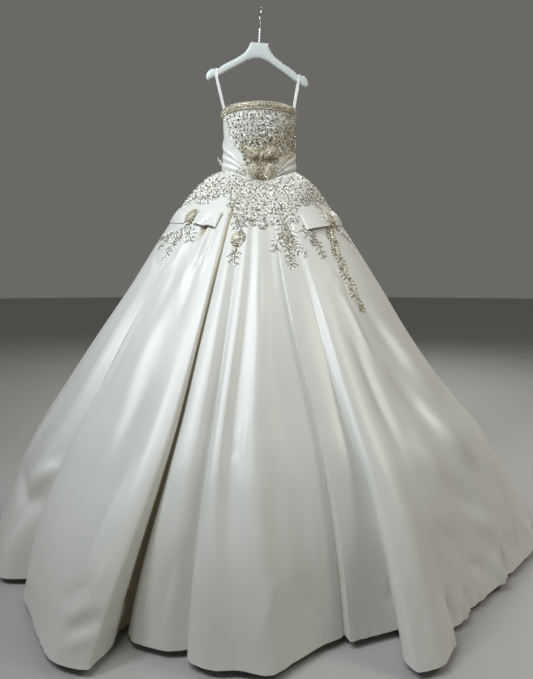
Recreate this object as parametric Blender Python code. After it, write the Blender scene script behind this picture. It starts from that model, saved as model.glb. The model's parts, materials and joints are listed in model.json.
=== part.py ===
"""A-line wedding dress in ivory duchess satin, hanging by two ribbon loops on a shaped hanger.

Metres, +Z up. The origin is the inner top of the hanger's hook, where a rail carries it.
The front faces -Y, and left and right are as seen from the front, so right is +X.
Heights in the tables are above the hem. Angles round the dress are in degrees from
the centre front, positive to the right, and 180 is the centre back.
"""

from collections import namedtuple

import bmesh
import bpy
import numpy as np

# Driving sizes
HOOK_TO_HEM = 1.788
DRESS_X = -0.0055
SIDE_SEAM_HEIGHT = 1.226
FRONT_DIP = 0.049
FRONT_TURN = 5.0
NECKLINE_HEIGHT = 1.437
WAIST_HALF_WIDTH = 0.134
WAIST_FRONT_DEPTH = 0.088
WAIST_BACK_DEPTH = 0.085
SKIRT_WALL = 0.0020
BODICE_WALL = 0.0025
SEAM_GAP = 0.0003
LAY_GAP = 0.0004

# Skirt grid
SKIRT_ROWS = 13
ROW_CROWDING = 1.55
BODICE_COLUMNS = 72
BODICE_ROWS = 7
SHARP_EDGE_ANGLE = 40.0

Section = namedtuple("Section", "drop left right")
# Radius of the plain cone at each share of the way from the waist seam to the hem
SKIRT_SECTIONS = (
    Section(0.000, 0.134, 0.134),
    Section(0.021, 0.188, 0.171),
    Section(0.046, 0.220, 0.205),
    Section(0.078, 0.257, 0.234),
    Section(0.127, 0.303, 0.277),
    Section(0.225, 0.382, 0.357),
    Section(0.347, 0.476, 0.451),
    Section(0.470, 0.580, 0.542),
    Section(0.592, 0.678, 0.645),
    Section(0.715, 0.774, 0.768),
    Section(0.837, 0.853, 0.870),
    Section(0.918, 0.893, 0.921),
    Section(1.000, 0.918, 0.975),
)

LEVELS = (0.0, 0.26, 0.63, 1.0)
Line = namedtuple("Line", "name cells waist hip knee hem hip_out knee_out hem_out")
# Lines that run down the cloth, in order round the plan: how many cells follow the line,
# its angle at the waist, hip, knee and hem, and how far it stands out from the plain cone.
SKIRT_LINES = (
    Line("back seam left", 3, -180, -180, -180, -180, -0.003, -0.008, -0.016),
    Line("back ridge 1", 3, -168, -168, -167, -166, 0.004, 0.014, 0.022),
    Line("back valley 1", 3, -154, -153, -152, -151, -0.004, -0.014, -0.028),
    Line("back ridge 2", 3, -140, -138, -136, -135, 0.004, 0.016, 0.024),
    Line("back valley 2", 3, -124, -123, -121, -120, -0.003, -0.012, -0.024),
    Line("back ridge 3", 3, -109, -108, -106, -104, 0.003, 0.011, 0.020),
    Line("side seam left", 2, -90, -90, -90, -90, 0.000, -0.004, -0.012),
    Line("side swell left", 3, -80, -78, -76, -74, 0.001, 0.003, 0.006),
    Line("side hollow left", 2, -68, -66, -63, -61, 0.000, -0.004, 0.000),
    Line("back lap crest", 2, -60, -57, -53, -52, 0.001, 0.003, 0.009),
    Line("back lap side", 2, -57, -54, -49, -47.2, -0.002, -0.018, -0.060),
    Line("back lap bottom", 2, -54.5, -51.5, -45.4, -43.3, -0.004, -0.040, -0.124),
    Line("left lobe tuck", 2, -53, -50.6, -45.2, -43.1, -0.003, -0.026, -0.074),
    Line("left lobe edge", 2, -51.5, -50, -45.8, -44.5, 0.000, -0.006, -0.031),
    Line("left lobe shoulder", 2, -49, -48, -44, -42.4, 0.001, 0.002, -0.012),
    Line("left lobe flat", 3, -44, -42, -38, -38.0, 0.000, 0.002, 0.005),
    Line("left lobe rise", 2, -35, -33, -29, -31.0, 0.000, 0.004, 0.048),
    Line("left lobe crest", 2, -28, -24, -21.8, -25.0, 0.003, 0.020, 0.074),
    Line("left lobe brow", 2, -25, -20.8, -18.6, -21.0, 0.005, 0.013, 0.056),
    Line("left pleat edge", 2, -23.5, -20.1, -18.2, -21.2, -0.002, -0.008, -0.012),
    Line("left pleat side", 1, -22, -19.7, -18.6, -22.4, -0.012, -0.028, -0.066),
    Line("left pleat seam", 1, -20.5, -19.3, -18.3, -22.0, -0.020, -0.044, -0.096),
    Line("left pleat return", 2, -19, -18.8, -17.6, -20.4, -0.012, -0.030, -0.076),
    Line("centre left rise", 2, -17.5, -17.4, -16.6, -18.0, -0.004, -0.018, -0.056),
    Line("centre left ridge", 2, -15, -14.4, -13.5, -14.0, 0.003, -0.006, -0.046),
    Line("centre left valley", 1, -11.5, -10.9, -10.4, -10.4, -0.003, -0.020, -0.058),
    Line("centre lobe edge", 2, -10.5, -9.9, -10.2, -10.3, -0.001, -0.013, -0.040),
    Line("centre bright ridge", 2, -7.5, -7.0, -8.0, -6.0, 0.005, 0.000, -0.012),
    Line("centre valley", 2, -4.5, -4.0, -5.4, -3.0, -0.002, -0.010, -0.012),
    Line("centre warm ridge", 2, -1, -0.5, -1.4, 0.9, 0.003, -0.003, -0.007),
    Line("centre shade edge", 2, 2.0, 2.0, 1.6, 5.2, 0.001, -0.008, -0.046),
    Line("centre right flat", 2, 6.0, 6.2, 7.4, 10.0, -0.003, -0.022, -0.084),
    Line("right pleat lip", 1, 9.0, 9.4, 12.6, 13.0, -0.003, -0.020, -0.094),
    Line("right pleat seam", 1, 10.5, 9.9, 13.3, 13.6, -0.014, -0.036, -0.116),
    Line("right pleat edge", 2, 12.0, 10.5, 13.5, 13.9, -0.001, -0.016, -0.088),
    Line("right strip", 2, 15.5, 15.5, 16.8, 17.6, -0.002, -0.020, -0.092),
    Line("right lobe tuck", 2, 19.5, 20.2, 20.6, 22.6, -0.005, -0.030, -0.094),
    Line("right lobe side", 1, 21.5, 21.6, 20.5, 21.2, -0.003, -0.018, -0.046),
    Line("right lobe edge", 1, 23.0, 22.8, 20.7, 19.3, 0.001, -0.004, 0.000),
    Line("right lobe brow", 2, 24.5, 24.0, 21.6, 19.8, 0.004, 0.012, 0.036),
    Line("right lobe crest", 2, 27.5, 26.5, 23.6, 22.6, 0.003, 0.018, 0.040),
    Line("right lobe fall", 3, 33, 32, 30, 30.5, 0.000, 0.004, -0.036),
    Line("right hollow", 3, 44, 44, 44, 41, -0.002, -0.016, -0.070),
    Line("right hollow end", 3, 57, 56, 54, 53.0, 0.000, -0.008, -0.056),
    Line("right swell", 3, 72, 71, 68, 66.0, 0.001, 0.003, -0.014),
    Line("side seam right", 3, 90, 90, 90, 88, 0.000, -0.002, 0.002),
    Line("back ridge 4", 3, 107, 106, 104, 102, 0.003, 0.012, 0.022),
    Line("back valley 3", 3, 123, 121, 119, 118, -0.003, -0.013, -0.025),
    Line("back ridge 5", 3, 138, 137, 135, 134, 0.004, 0.015, 0.022),
    Line("back valley 4", 3, 153, 152, 151, 150, -0.004, -0.013, -0.030),
    Line("back ridge 6", 3, 168, 168, 167, 166, 0.004, 0.014, 0.022),
    Line("back seam right", 0, 180, 180, 180, 180, -0.003, -0.008, -0.016),
)
SKIRT_PANELS = (
    ("skirt_back_left", "back seam left", "side seam left"),
    ("skirt_front_left", "side seam left", "left pleat seam"),
    ("skirt_front_centre", "left pleat seam", "right pleat seam"),
    ("skirt_front_right", "right pleat seam", "side seam right"),
    ("skirt_back_right", "side seam right", "back seam right"),
)

Girth = namedtuple("Girth", "rise half_width front back")
# Half width and depths of the bodice at each share of the way from waist seam to neckline
BODICE_GIRTHS = (
    Girth(0.00, WAIST_HALF_WIDTH, WAIST_FRONT_DEPTH, WAIST_BACK_DEPTH),
    Girth(0.15, 0.1310, 0.0890, 0.0850),
    Girth(0.35, 0.1285, 0.0945, 0.0870),
    Girth(0.60, 0.1290, 0.1080, 0.0920),
    Girth(0.82, 0.1305, 0.1140, 0.0960),
    Girth(1.00, 0.1310, 0.1130, 0.0970),
)

# Beaded band on the neckline
BAND_HEIGHT = 0.026
BAND_THICKNESS = 0.0032
BAND_PROUD = 0.0010
BAND_CROWN = (0.45, 0.95, 1.0, 0.95, 0.45)

# Pleated side drapes on the bodice
DRAPE_SIDE_TOP = 1.338
DRAPE_FRONT_TOP = 1.212
DRAPE_FRONT_LEFT = -30.0
DRAPE_FRONT_RIGHT = 40.0
DRAPE_THICKNESS = 0.0016
DRAPE_PLEAT_HEIGHT = 0.0032
DRAPE_PLEATS = 3
DRAPE_ROWS = 9
DRAPE_SWEEP = 0.8

# Hanger, in its own frame below the hook's inner top
HANGER_TILT = 2.7
HANGER_YAW = 4.0
NECK_DROP = 0.114
HANGER_DEPTH = 0.014
HANGER_ROUNDING = 3.0
HANGER_SIDES = 16
Arm = namedtuple("Arm", "x top bottom")
# Upper and lower edge of the hanger's arm below the top of its neck
HANGER_ARM = (
    Arm(0.000, 0.0000, -0.0530),
    Arm(0.011, 0.0000, -0.0545),
    Arm(0.022, 0.0000, -0.0572),
    Arm(0.0305, -0.0004, -0.0600),
    Arm(0.0345, -0.0120, -0.0615),
    Arm(0.0430, -0.0270, -0.0660),
    Arm(0.0540, -0.0405, -0.0722),
    Arm(0.0680, -0.0510, -0.0805),
    Arm(0.0850, -0.0620, -0.0905),
    Arm(0.1050, -0.0730, -0.1020),
    Arm(0.1250, -0.0845, -0.1135),
    Arm(0.1400, -0.0955, -0.1220),
    Arm(0.1480, -0.1030, -0.1265),
    Arm(0.1530, -0.1045, -0.1290),
    Arm(0.1580, -0.1030, -0.1320),
    Arm(0.1660, -0.1035, -0.1365),
    Arm(0.1750, -0.1090, -0.1425),
    Arm(0.1830, -0.1200, -0.1480),
    Arm(0.1880, -0.1330, -0.1490),
    Arm(0.1905, -0.1410, -0.1470),
)
NOTCH_X = 0.153

# Steel hook
WIRE_RADIUS = 0.00225
HOOK_INNER_RADIUS = 0.021
HOOK_TIP_ANGLE = 195.0
HOOK_START_ANGLE = -60.0
HOOK_ARC_POINTS = 24
STEM_POINTS = 4
STEM_TOP = -0.066
HOOK_BEND = ((0.0025, -0.0595), (0.0065, -0.0510))
WIRE_SIDES = 10

# Ribbon loops
RIBBON_WIDTH = 0.0095
RIBBON_FOOT_WIDTH = 0.0070
RIBBON_THICKNESS = 0.0009
RIBBON_FOOT_DEPTH = 0.022
RIBBON_FOOT_SPREAD = 0.0045
RIBBON_CORNER = 0.0035
RIBBON_BEND = (90.0, 60.0, 30.0, 0.0)

Pad = namedtuple("Pad", "name angle height half_width half_height turn thickness")
# Thick beaded bow at the centre of the waist
WAIST_BOW = (
    Pad("waist_bow_loop_left", -13.0, 1.271, 0.0240, 0.0175, -12, 0.011),
    Pad("waist_bow_loop_right", 23.0, 1.271, 0.0240, 0.0175, 12, 0.011),
    Pad("waist_bow_knot", 5.0, 1.262, 0.0052, 0.0120, 0, 0.013),
    Pad("waist_bow_tail_left", -14.5, 1.2105, 0.0165, 0.0225, 12, 0.009),
    Pad("waist_bow_tail_right", 22.5, 1.2085, 0.0155, 0.0225, -8, 0.009),
)
PAD_RINGS = 5
PAD_SECTORS = 20
PAD_EDGE = 0.0015
PAD_GAP = 0.0010
PAD_FULLNESS = 0.97
PAD_STEP = 0.002

HipBow = namedtuple("HipBow", "side knot knot_height outer_end inner_end")
# Flat satin bows on the hips: angles of the knot and of the bands' ends, and the knot's height
HIP_BOWS = (
    HipBow("left", -48.5, 1.037, -80.0, -27.0),
    HipBow("right", 57.0, 1.034, 84.0, 32.0),
)
BOW_HALF_HEIGHT = 0.0255
BOW_RISE_PER_DEGREE = 0.0008
BOW_WALL = 0.0016
BOW_GAP = 0.0009
BOW_PUFF = 0.006
BOW_LOOP_DEPTH = 0.0125
BOW_ROWS = 5
BOW_LOOP_CROWN = 0.28
BOW_TURN = (60.0, 0.0, -60.0)
KNOT_HALF_ANGLE = 4.6
KNOT_HALF_WIDTH = 0.0185
KNOT_HALF_HEIGHT = 0.0245
KNOT_THICKNESS = 0.0170

# Colours, linear RGB, with roughness and metallic value
SATIN = ((0.76, 0.74, 0.68), 0.36, 0.0)
BEADING = ((0.45, 0.41, 0.31), 0.32, 0.6)
RIBBON = ((0.80, 0.80, 0.77), 0.40, 0.0)
HANGER_PLASTIC = ((0.72, 0.73, 0.69), 0.42, 0.0)
HOOK_STEEL = ((0.55, 0.55, 0.56), 0.28, 1.0)


def pchip(x, y, at):
    """Smooth curve through (x, y) that never overshoots its points; y may have more axes."""
    x = np.asarray(x, float)
    y = np.asarray(y, float)
    at = np.asarray(at, float)
    tail = (1,) * (y.ndim - 1)
    step = np.diff(x).reshape(-1, *tail)
    rise = np.diff(y, axis=0) / step
    before, after = 2 * step[1:] + step[:-1], step[1:] + 2 * step[:-1]
    same = rise[:-1] * rise[1:] > 0
    safe = np.where(same, rise[:-1], 1.0), np.where(same, rise[1:], 1.0)
    mean = (before + after) / (before / safe[0] + after / safe[1])
    slope = np.concatenate([rise[:1], np.where(same, mean, 0.0), rise[-1:]])
    k = np.clip(np.searchsorted(x, at, side="right") - 1, 0, len(x) - 2)
    t = ((at - x[k]) / (x[k + 1] - x[k])).reshape(-1, *tail)
    h = step[k]
    rest = 1 - t
    return (
        y[k] * (1 + 2 * t) * rest**2
        + h * slope[k] * t * rest**2
        + y[k + 1] * t**2 * (3 - 2 * t)
        - h * slope[k + 1] * t**2 * rest
    )


def girth_radius(angle, half_width, front, back):
    """Distance from the axis to an oval with its own depths to the front and to the back."""
    depth = np.where(np.cos(angle) > 0, front, back)
    return 1 / np.hypot(np.sin(angle) / half_width, np.cos(angle) / depth)


def waist_height(angle):
    """Height of the waist seam, level at the back and dipping below the centre front's bow."""
    return SIDE_SEAM_HEIGHT - FRONT_DIP * np.maximum(np.cos(angle - np.radians(FRONT_TURN)), 0) ** 2


def place(radius, angle, height):
    """Points in the dress from their radius, angle and height above the hem."""
    return np.stack(
        [
            DRESS_X + radius * np.sin(angle),
            -radius * np.cos(angle),
            height - HOOK_TO_HEM + 0 * radius,
        ],
        axis=-1,
    )


def unit(vectors):
    """Vectors of length one."""
    return vectors / np.linalg.norm(vectors, axis=-1, keepdims=True)


def outward(grid):
    """Outward normals of a grid of columns round the dress and rows from top to bottom."""
    across = np.gradient(grid, axis=0)
    down = np.gradient(grid, axis=1)
    return unit(np.cross(down, across))


def level_ends(normals):
    """Normals whose first and last rows are horizontal, so that a wall's rims are level."""
    level = normals.copy()
    level[:, (0, -1), 2] = 0
    return unit(level)


def skirt_columns():
    """Angle and stand-off of every column at every row, and the first column of each line."""
    hem = np.radians([line.hem for line in SKIRT_LINES])
    radius = SKIRT_SECTIONS[-1].left + np.array([line.hem_out for line in SKIRT_LINES])
    plan = np.stack([radius * np.sin(hem), radius * np.cos(hem)], axis=1)
    along = np.concatenate([[0], np.cumsum(np.linalg.norm(np.diff(plan, axis=0), axis=1))])
    cells = [line.cells for line in SKIRT_LINES]
    stops = [
        np.linspace(along[k], along[k + 1], n, endpoint=False) for k, n in enumerate(cells[:-1])
    ]
    at = np.concatenate([*stops, along[-1:]])
    first = dict(zip([line.name for line in SKIRT_LINES], np.cumsum([0, *cells[:-1]])))
    drop = np.linspace(0, 1, SKIRT_ROWS) ** ROW_CROWDING
    angle = np.radians([[line.waist, line.hip, line.knee, line.hem] for line in SKIRT_LINES])
    out = np.array([[0.0, line.hip_out, line.knee_out, line.hem_out] for line in SKIRT_LINES])
    angle = pchip(along, pchip(LEVELS, angle.T, drop).T, at)
    out = pchip(along, pchip(LEVELS, out.T, drop).T, at)
    return angle, out, drop, first


def skirt_grid():
    """Outer surface of the whole skirt: the plain cone moved out by its folds."""
    angle, out, drop, first = skirt_columns()
    table = np.array([[s.left, s.right] for s in SKIRT_SECTIONS])
    left, right = pchip([s.drop for s in SKIRT_SECTIONS], table, drop).T
    cone = (left + right) / 2 + (right - left) / 2 * np.sin(angle)
    waist = girth_radius(angle, WAIST_HALF_WIDTH, WAIST_FRONT_DEPTH, WAIST_BACK_DEPTH)
    opened = (left - left[0]) / (left[-1] - left[0])
    radius = cone + (waist - WAIST_HALF_WIDTH) * (1 - opened) ** 2 + out
    height = waist_height(angle[:, :1]) * (1 - drop)
    return place(radius, angle, height), angle, first


def bodice_grid():
    """Outer surface of the whole bodice, from the neckline down to the waist seam."""
    angle = np.radians(np.linspace(-180, 180, BODICE_COLUMNS + 1))[:, None]
    rise = np.linspace(1, 0, BODICE_ROWS)
    table = np.array([[g.half_width, g.front, g.back] for g in BODICE_GIRTHS])
    half_width, front, back = pchip([g.rise for g in BODICE_GIRTHS], table, rise).T
    radius = girth_radius(angle, half_width, front, back)
    foot = waist_height(angle) + SEAM_GAP
    height = foot + (NECKLINE_HEIGHT - foot) * rise
    return place(radius, angle, height), angle[:, 0]


def make_material(name, finish):
    """A Principled material from linear colour, roughness and metallic value."""
    colour, roughness, metallic = finish
    material = bpy.data.materials.new(name)
    material.use_nodes = True
    shader = material.node_tree.nodes["Principled BSDF"]
    shader.inputs["Base Color"].default_value = (*colour, 1.0)
    shader.inputs["Roughness"].default_value = roughness
    shader.inputs["Metallic"].default_value = metallic
    return material


def add_object(name, points, faces, finish):
    """A smooth-shaded object with its own material."""
    mesh = bpy.data.meshes.new(name)
    mesh.from_pydata(points.tolist(), [], faces)
    solid = bmesh.new()
    solid.from_mesh(mesh)
    bmesh.ops.recalc_face_normals(solid, faces=solid.faces)
    solid.to_mesh(mesh)
    solid.free()
    mesh.shade_smooth()
    mesh.set_sharp_from_angle(angle=np.radians(SHARP_EDGE_ANGLE))
    mesh.materials.append(make_material(name, finish))
    built = bpy.data.objects.new(name, mesh)
    bpy.context.collection.objects.link(built)
    return built


def strip_faces(first, second, flip):
    """Two triangles for each step between two rows of point numbers."""
    pairs = []
    for a, b, c, d in zip(first[:-1], first[1:], second[1:], second[:-1]):
        pairs += [(a, d, c), (a, c, b)] if flip else [(a, c, d), (a, b, c)]
    return pairs


def wall(name, outer, inner, finish, ring=False):
    """A closed wall between an outer and an inner grid, with the same triangles on both."""
    columns, rows = outer.shape[:2]
    if ring:
        outer, inner = outer[:-1], inner[:-1]
        columns -= 1
    points = np.concatenate([outer.reshape(-1, 3), inner.reshape(-1, 3)])
    number = np.arange(columns * rows).reshape(columns, rows)
    if ring:
        number = np.concatenate([number, number[:1]])
    behind = number + columns * rows
    faces = []
    for i in range(len(number) - 1):
        faces += strip_faces(number[i], number[i + 1], False)
        faces += strip_faces(behind[i], behind[i + 1], True)
    faces += strip_faces(number[:, 0], behind[:, 0], True)
    faces += strip_faces(number[:, -1], behind[:, -1], False)
    if not ring:
        faces += strip_faces(number[0], behind[0], False)
        faces += strip_faces(number[-1], behind[-1], True)
    return add_object(name, points, faces, finish)


def panel(name, grid, normals, start, stop, thickness):
    """One cut piece of a grid, its end columns half a seam gap short of the seams."""
    outer = grid[start : stop + 1].copy()
    facing = normals[start : stop + 1]
    along = unit((outer[1] - outer[0]) * (1, 1, 0))
    outer[0] += along * SEAM_GAP / 2
    along = unit((outer[-1] - outer[-2]) * (1, 1, 0))
    outer[-1] -= along * SEAM_GAP / 2
    return wall(name, outer, outer - facing * thickness, SATIN)


def at_heights(grid, normals, columns, heights):
    """Points and normals on the grid's own columns at the given heights, one row of them each."""
    points, facing = [], []
    for column, wanted in zip(columns, heights):
        rows = np.arange(grid.shape[1])
        level = grid[column, :, 2] + HOOK_TO_HEM
        row = np.interp(-wanted, -level, rows)
        lower = np.minimum(row.astype(int), len(rows) - 2)
        share = (row - lower)[:, None]
        points.append(grid[column, lower] * (1 - share) + grid[column, lower + 1] * share)
        facing.append(normals[column, lower] * (1 - share) + normals[column, lower + 1] * share)
    return np.array(points), unit(np.array(facing))


def build_skirt():
    """The five skirt panels."""
    grid, angle, first = skirt_grid()
    normals = outward(grid)
    rim = level_ends(normals)
    for name, start, stop in SKIRT_PANELS:
        panel(name, grid, rim, first[start], first[stop], SKIRT_WALL)
    return grid, normals, angle


def build_bodice():
    """Front and two backs, which meet at the side seams and the centre back."""
    grid, angle = bodice_grid()
    normals = outward(grid)
    rim = level_ends(normals)
    quarter = BODICE_COLUMNS // 4
    panel("bodice_back_left", grid, rim, 0, quarter, BODICE_WALL)
    panel("bodice_front", grid, rim, quarter, 3 * quarter, BODICE_WALL)
    panel("bodice_back_right", grid, rim, 3 * quarter, 4 * quarter, BODICE_WALL)
    return grid, normals, angle


def build_band(grid, normals):
    """The beaded band: a ring laid on the top of the bodice, with a rounded face."""
    heights = np.linspace(NECKLINE_HEIGHT, NECKLINE_HEIGHT - BAND_HEIGHT, len(BAND_CROWN))
    base, facing = at_heights(grid, normals, range(len(grid)), [heights] * len(grid))
    facing = unit(facing * (1, 1, 0))
    inner = base + facing * LAY_GAP
    inner[:, 0, 2] += BAND_PROUD
    crown = BAND_THICKNESS * np.array(BAND_CROWN)[None, :, None]
    wall("neckline_band", inner + facing * crown, inner, BEADING, ring=True)


def build_drape(side, front_end, grid, normals, angle):
    """Pleated satin laid across the bodice from the side seam down to the centre front."""
    sign = np.sign(front_end)
    low, high = sorted((front_end, sign * 90.0))
    shares = np.degrees(angle)
    columns = np.flatnonzero((shares >= low - 0.01) & (shares <= high + 0.01))
    across = (np.abs(shares[columns]) - abs(front_end)) / (90 - abs(front_end))
    across = np.clip(across, 0, 1)
    top = DRAPE_FRONT_TOP + (DRAPE_SIDE_TOP - DRAPE_FRONT_TOP) * across**DRAPE_SWEEP
    foot = waist_height(angle[columns]) + 2 * SEAM_GAP
    down = np.linspace(0, 1, DRAPE_ROWS)
    heights = [t + (b - t) * down for t, b in zip(top, foot)]
    base, facing = at_heights(grid, normals, columns, heights)
    inner = base + facing * LAY_GAP
    fold = 0.5 - 0.5 * np.cos(2 * np.pi * DRAPE_PLEATS * down)
    thickness = DRAPE_THICKNESS + DRAPE_PLEAT_HEIGHT * fold
    outer = inner + facing * thickness[None, :, None]
    end, beside = (0, 1) if sign < 0 else (-1, -2)
    step = unit(inner[beside] - inner[end]) * SEAM_GAP
    inner[end] += step
    outer[end] += step
    wall(f"waist_drape_{side}", outer, inner, SATIN)


def surface_at(kind, angle, height):
    """Point on the bodice's or the skirt's smooth surface; arrays of one shape."""
    if kind == "bodice":
        foot = waist_height(angle)
        rise = (height - foot) / (NECKLINE_HEIGHT - foot)
        table = np.array([[g.half_width, g.front, g.back] for g in BODICE_GIRTHS])
        spread = pchip([g.rise for g in BODICE_GIRTHS], table, rise.ravel()).T
        radius = girth_radius(angle, *[s.reshape(angle.shape) for s in spread])
        return place(radius, angle, height)
    drop = 1 - height / waist_height(angle)
    table = np.array([[s.left, s.right] for s in SKIRT_SECTIONS])
    left, right = pchip([s.drop for s in SKIRT_SECTIONS], table, drop.ravel()).T
    left, right = left.reshape(angle.shape), right.reshape(angle.shape)
    cone = (left + right) / 2 + (right - left) / 2 * np.sin(angle)
    waist = girth_radius(angle, WAIST_HALF_WIDTH, WAIST_FRONT_DEPTH, WAIST_BACK_DEPTH)
    narrow, wide = SKIRT_SECTIONS[0].left, SKIRT_SECTIONS[-1].left
    opened = (left - narrow) / (wide - narrow)
    radius = cone + (waist - WAIST_HALF_WIDTH) * (1 - opened) ** 2
    return place(radius, angle, height)


def build_pad(pad, kind):
    """A thick beaded lobe: a rounded oval laid on the surface, flat below and domed above."""
    reach = np.linspace(0, 1, PAD_RINGS)[1:, None]
    turn = np.linspace(0, 2 * np.pi, PAD_SECTORS, endpoint=False)[None, :]
    along = pad.half_width * reach * np.cos(turn)
    up = pad.half_height * reach * np.sin(turn)
    lean = np.radians(pad.turn)
    across = along * np.cos(lean) - up * np.sin(lean)
    rise = along * np.sin(lean) + up * np.cos(lean)
    across = np.concatenate([[0.0], across.ravel()])
    rise = np.concatenate([[0.0], rise.ravel()])
    centre = np.radians([pad.angle])
    height = np.array([pad.height])
    middle = surface_at(kind, centre, height)[0]
    radius = np.hypot(middle[0] - DRESS_X, middle[1])
    angle = centre + across / radius
    base = surface_at(kind, angle, height + rise)
    turned = surface_at(kind, angle + PAD_STEP, height + rise) - base
    dropped = surface_at(kind, angle, height + rise - PAD_STEP) - base
    facing = unit(np.cross(dropped, turned))
    edge = np.concatenate([[0.0], np.repeat(reach.ravel(), PAD_SECTORS)])
    dome = PAD_EDGE + (pad.thickness - PAD_EDGE) * np.sqrt(1 - PAD_FULLNESS * edge**2)
    under = base + facing * PAD_GAP
    over = under + facing * dome[:, None]
    points = np.concatenate([over, under])
    count = len(over)
    number = 1 + np.arange((PAD_RINGS - 1) * PAD_SECTORS).reshape(PAD_RINGS - 1, PAD_SECTORS)
    number = np.concatenate([number, number[:, :1]], axis=1)
    faces = [(0, a, b) for a, b in zip(number[0][:-1], number[0][1:])]
    for inner_ring, outer_ring in zip(number[:-1], number[1:]):
        faces += strip_faces(inner_ring, outer_ring, True)
    faces += [tuple(count + n for n in reversed(face)) for face in faces]
    faces += strip_faces(number[-1], number[-1] + count, True)
    return add_object(pad.name, points, faces, BEADING)


def build_hip_bow(bow, grid, normals, angle):
    """A flat band from the knot round the side, a folded loop towards the front, and a knot."""
    sign = -1 if bow.side == "left" else 1
    level = np.median(grid[..., 2], axis=0) + HOOK_TO_HEM
    row = int(np.argmin(np.abs(level - bow.knot_height)))
    turn = np.abs(np.degrees(angle[:, row]))
    same_side = np.sign(angle[:, row]) == sign
    knot = abs(bow.knot)
    share = np.linspace(0, 1, BOW_ROWS)
    spread = BOW_HALF_HEIGHT * (1 - 2 * share)
    arch = np.sin(np.pi * share)[None, :, None]

    def laid(columns):
        """The surface under a band along the given columns, sloping with the angle."""
        heights = [
            bow.knot_height + BOW_RISE_PER_DEGREE * (turn[c] - knot) + spread for c in columns
        ]
        return at_heights(grid, normals, columns, heights)

    outside = (turn > knot + KNOT_HALF_ANGLE) & (turn < abs(bow.outer_end))
    beyond = np.flatnonzero(same_side & outside)
    base, facing = laid(beyond)
    swell = np.sin(np.linspace(0, np.pi, len(beyond)))[:, None, None]
    under = base + facing * (BOW_GAP + BOW_PUFF * arch * swell)
    wall(f"hip_bow_{bow.side}_band", under + facing * BOW_WALL, under, SATIN)

    inside = (turn < knot - KNOT_HALF_ANGLE) & (turn > abs(bow.inner_end))
    before = np.flatnonzero(same_side & inside)
    before = before if sign < 0 else before[::-1]
    base, facing = laid(before)
    crown = np.sin(np.linspace(0, np.pi, len(before)))
    lift = BOW_LOOP_DEPTH * (1 - BOW_LOOP_CROWN + BOW_LOOP_CROWN * crown)
    face = base + facing * lift[:, None, None]
    back = base + facing * BOW_GAP
    ahead = unit(base[-1] - base[-2])
    bend = lift[-1] / 2

    def turned(radius):
        """The loop's free end: three lines round the bend at a radius."""
        return np.array(
            [
                base[-1]
                + facing[-1] * (bend + (radius - BOW_GAP) * np.sin(a))
                + ahead * radius * np.cos(a)
                for a in np.radians(BOW_TURN)
            ]
        )

    outer = np.concatenate([face, turned(bend), back[::-1]])
    lining = [face - facing * BOW_WALL, turned(bend - BOW_WALL), (back + facing * BOW_WALL)[::-1]]
    wall(f"hip_bow_{bow.side}_loop", outer, np.concatenate(lining), SATIN)

    knot_pad = Pad(
        f"hip_bow_{bow.side}_knot",
        bow.knot,
        bow.knot_height,
        KNOT_HALF_WIDTH,
        KNOT_HALF_HEIGHT,
        0,
        KNOT_THICKNESS,
    )
    build_pad(knot_pad, "skirt")


def hanger_place(points):
    """Points of the hanger's own frame, tilted and turned about the hook's inner top."""
    tilt, yaw = np.radians([HANGER_TILT, HANGER_YAW])
    x, y, z = np.moveaxis(np.asarray(points, float), -1, 0)
    x, z = x * np.cos(tilt) + z * np.sin(tilt), z * np.cos(tilt) - x * np.sin(tilt)
    x, y = x * np.cos(yaw) - y * np.sin(yaw), y * np.cos(yaw) + x * np.sin(yaw)
    return np.stack([x, y, z], axis=-1)


def arm_edges(x):
    """Upper and lower edge of the hanger below the hook's inner top at distances x."""
    table = np.array([[a.top, a.bottom] for a in HANGER_ARM])
    top, bottom = pchip([a.x for a in HANGER_ARM], table, np.abs(x)).T
    return top - NECK_DROP, bottom - NECK_DROP


def loft(name, sections, finish):
    """A closed solid through sections of equal point count, with flat ends."""
    count, sides = sections.shape[:2]
    number = np.arange(count * sides).reshape(count, sides)
    number = np.concatenate([number, number[:, :1]], axis=1)
    faces = []
    for first, second in zip(number[:-1], number[1:]):
        faces += strip_faces(first, second, False)
    faces.append(tuple(int(n) for n in number[0][:-1]))
    faces.append(tuple(int(n) for n in number[-1][-2::-1]))
    return add_object(name, sections.reshape(-1, 3), faces, finish)


def build_hanger_body():
    """Shaped hanger: rounded oblong sections between the arm's upper and lower edges."""
    right = np.array([a.x for a in HANGER_ARM])
    x = np.concatenate([-right[:0:-1], right])
    top, bottom = arm_edges(x)
    turn = np.linspace(0, 2 * np.pi, HANGER_SIDES, endpoint=False)
    cosine = np.sign(np.cos(turn)) * np.abs(np.cos(turn)) ** (2 / HANGER_ROUNDING)
    sine = np.sign(np.sin(turn)) * np.abs(np.sin(turn)) ** (2 / HANGER_ROUNDING)
    middle, half = (top + bottom) / 2, (top - bottom) / 2
    depth = HANGER_DEPTH / 2 * cosine[None, :] + 0 * x[:, None]
    height = middle[:, None] + half[:, None] * sine[None, :]
    sections = np.stack([x[:, None] + 0 * depth, depth, height], axis=-1)
    loft("hanger_body", hanger_place(sections), HANGER_PLASTIC)


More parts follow.
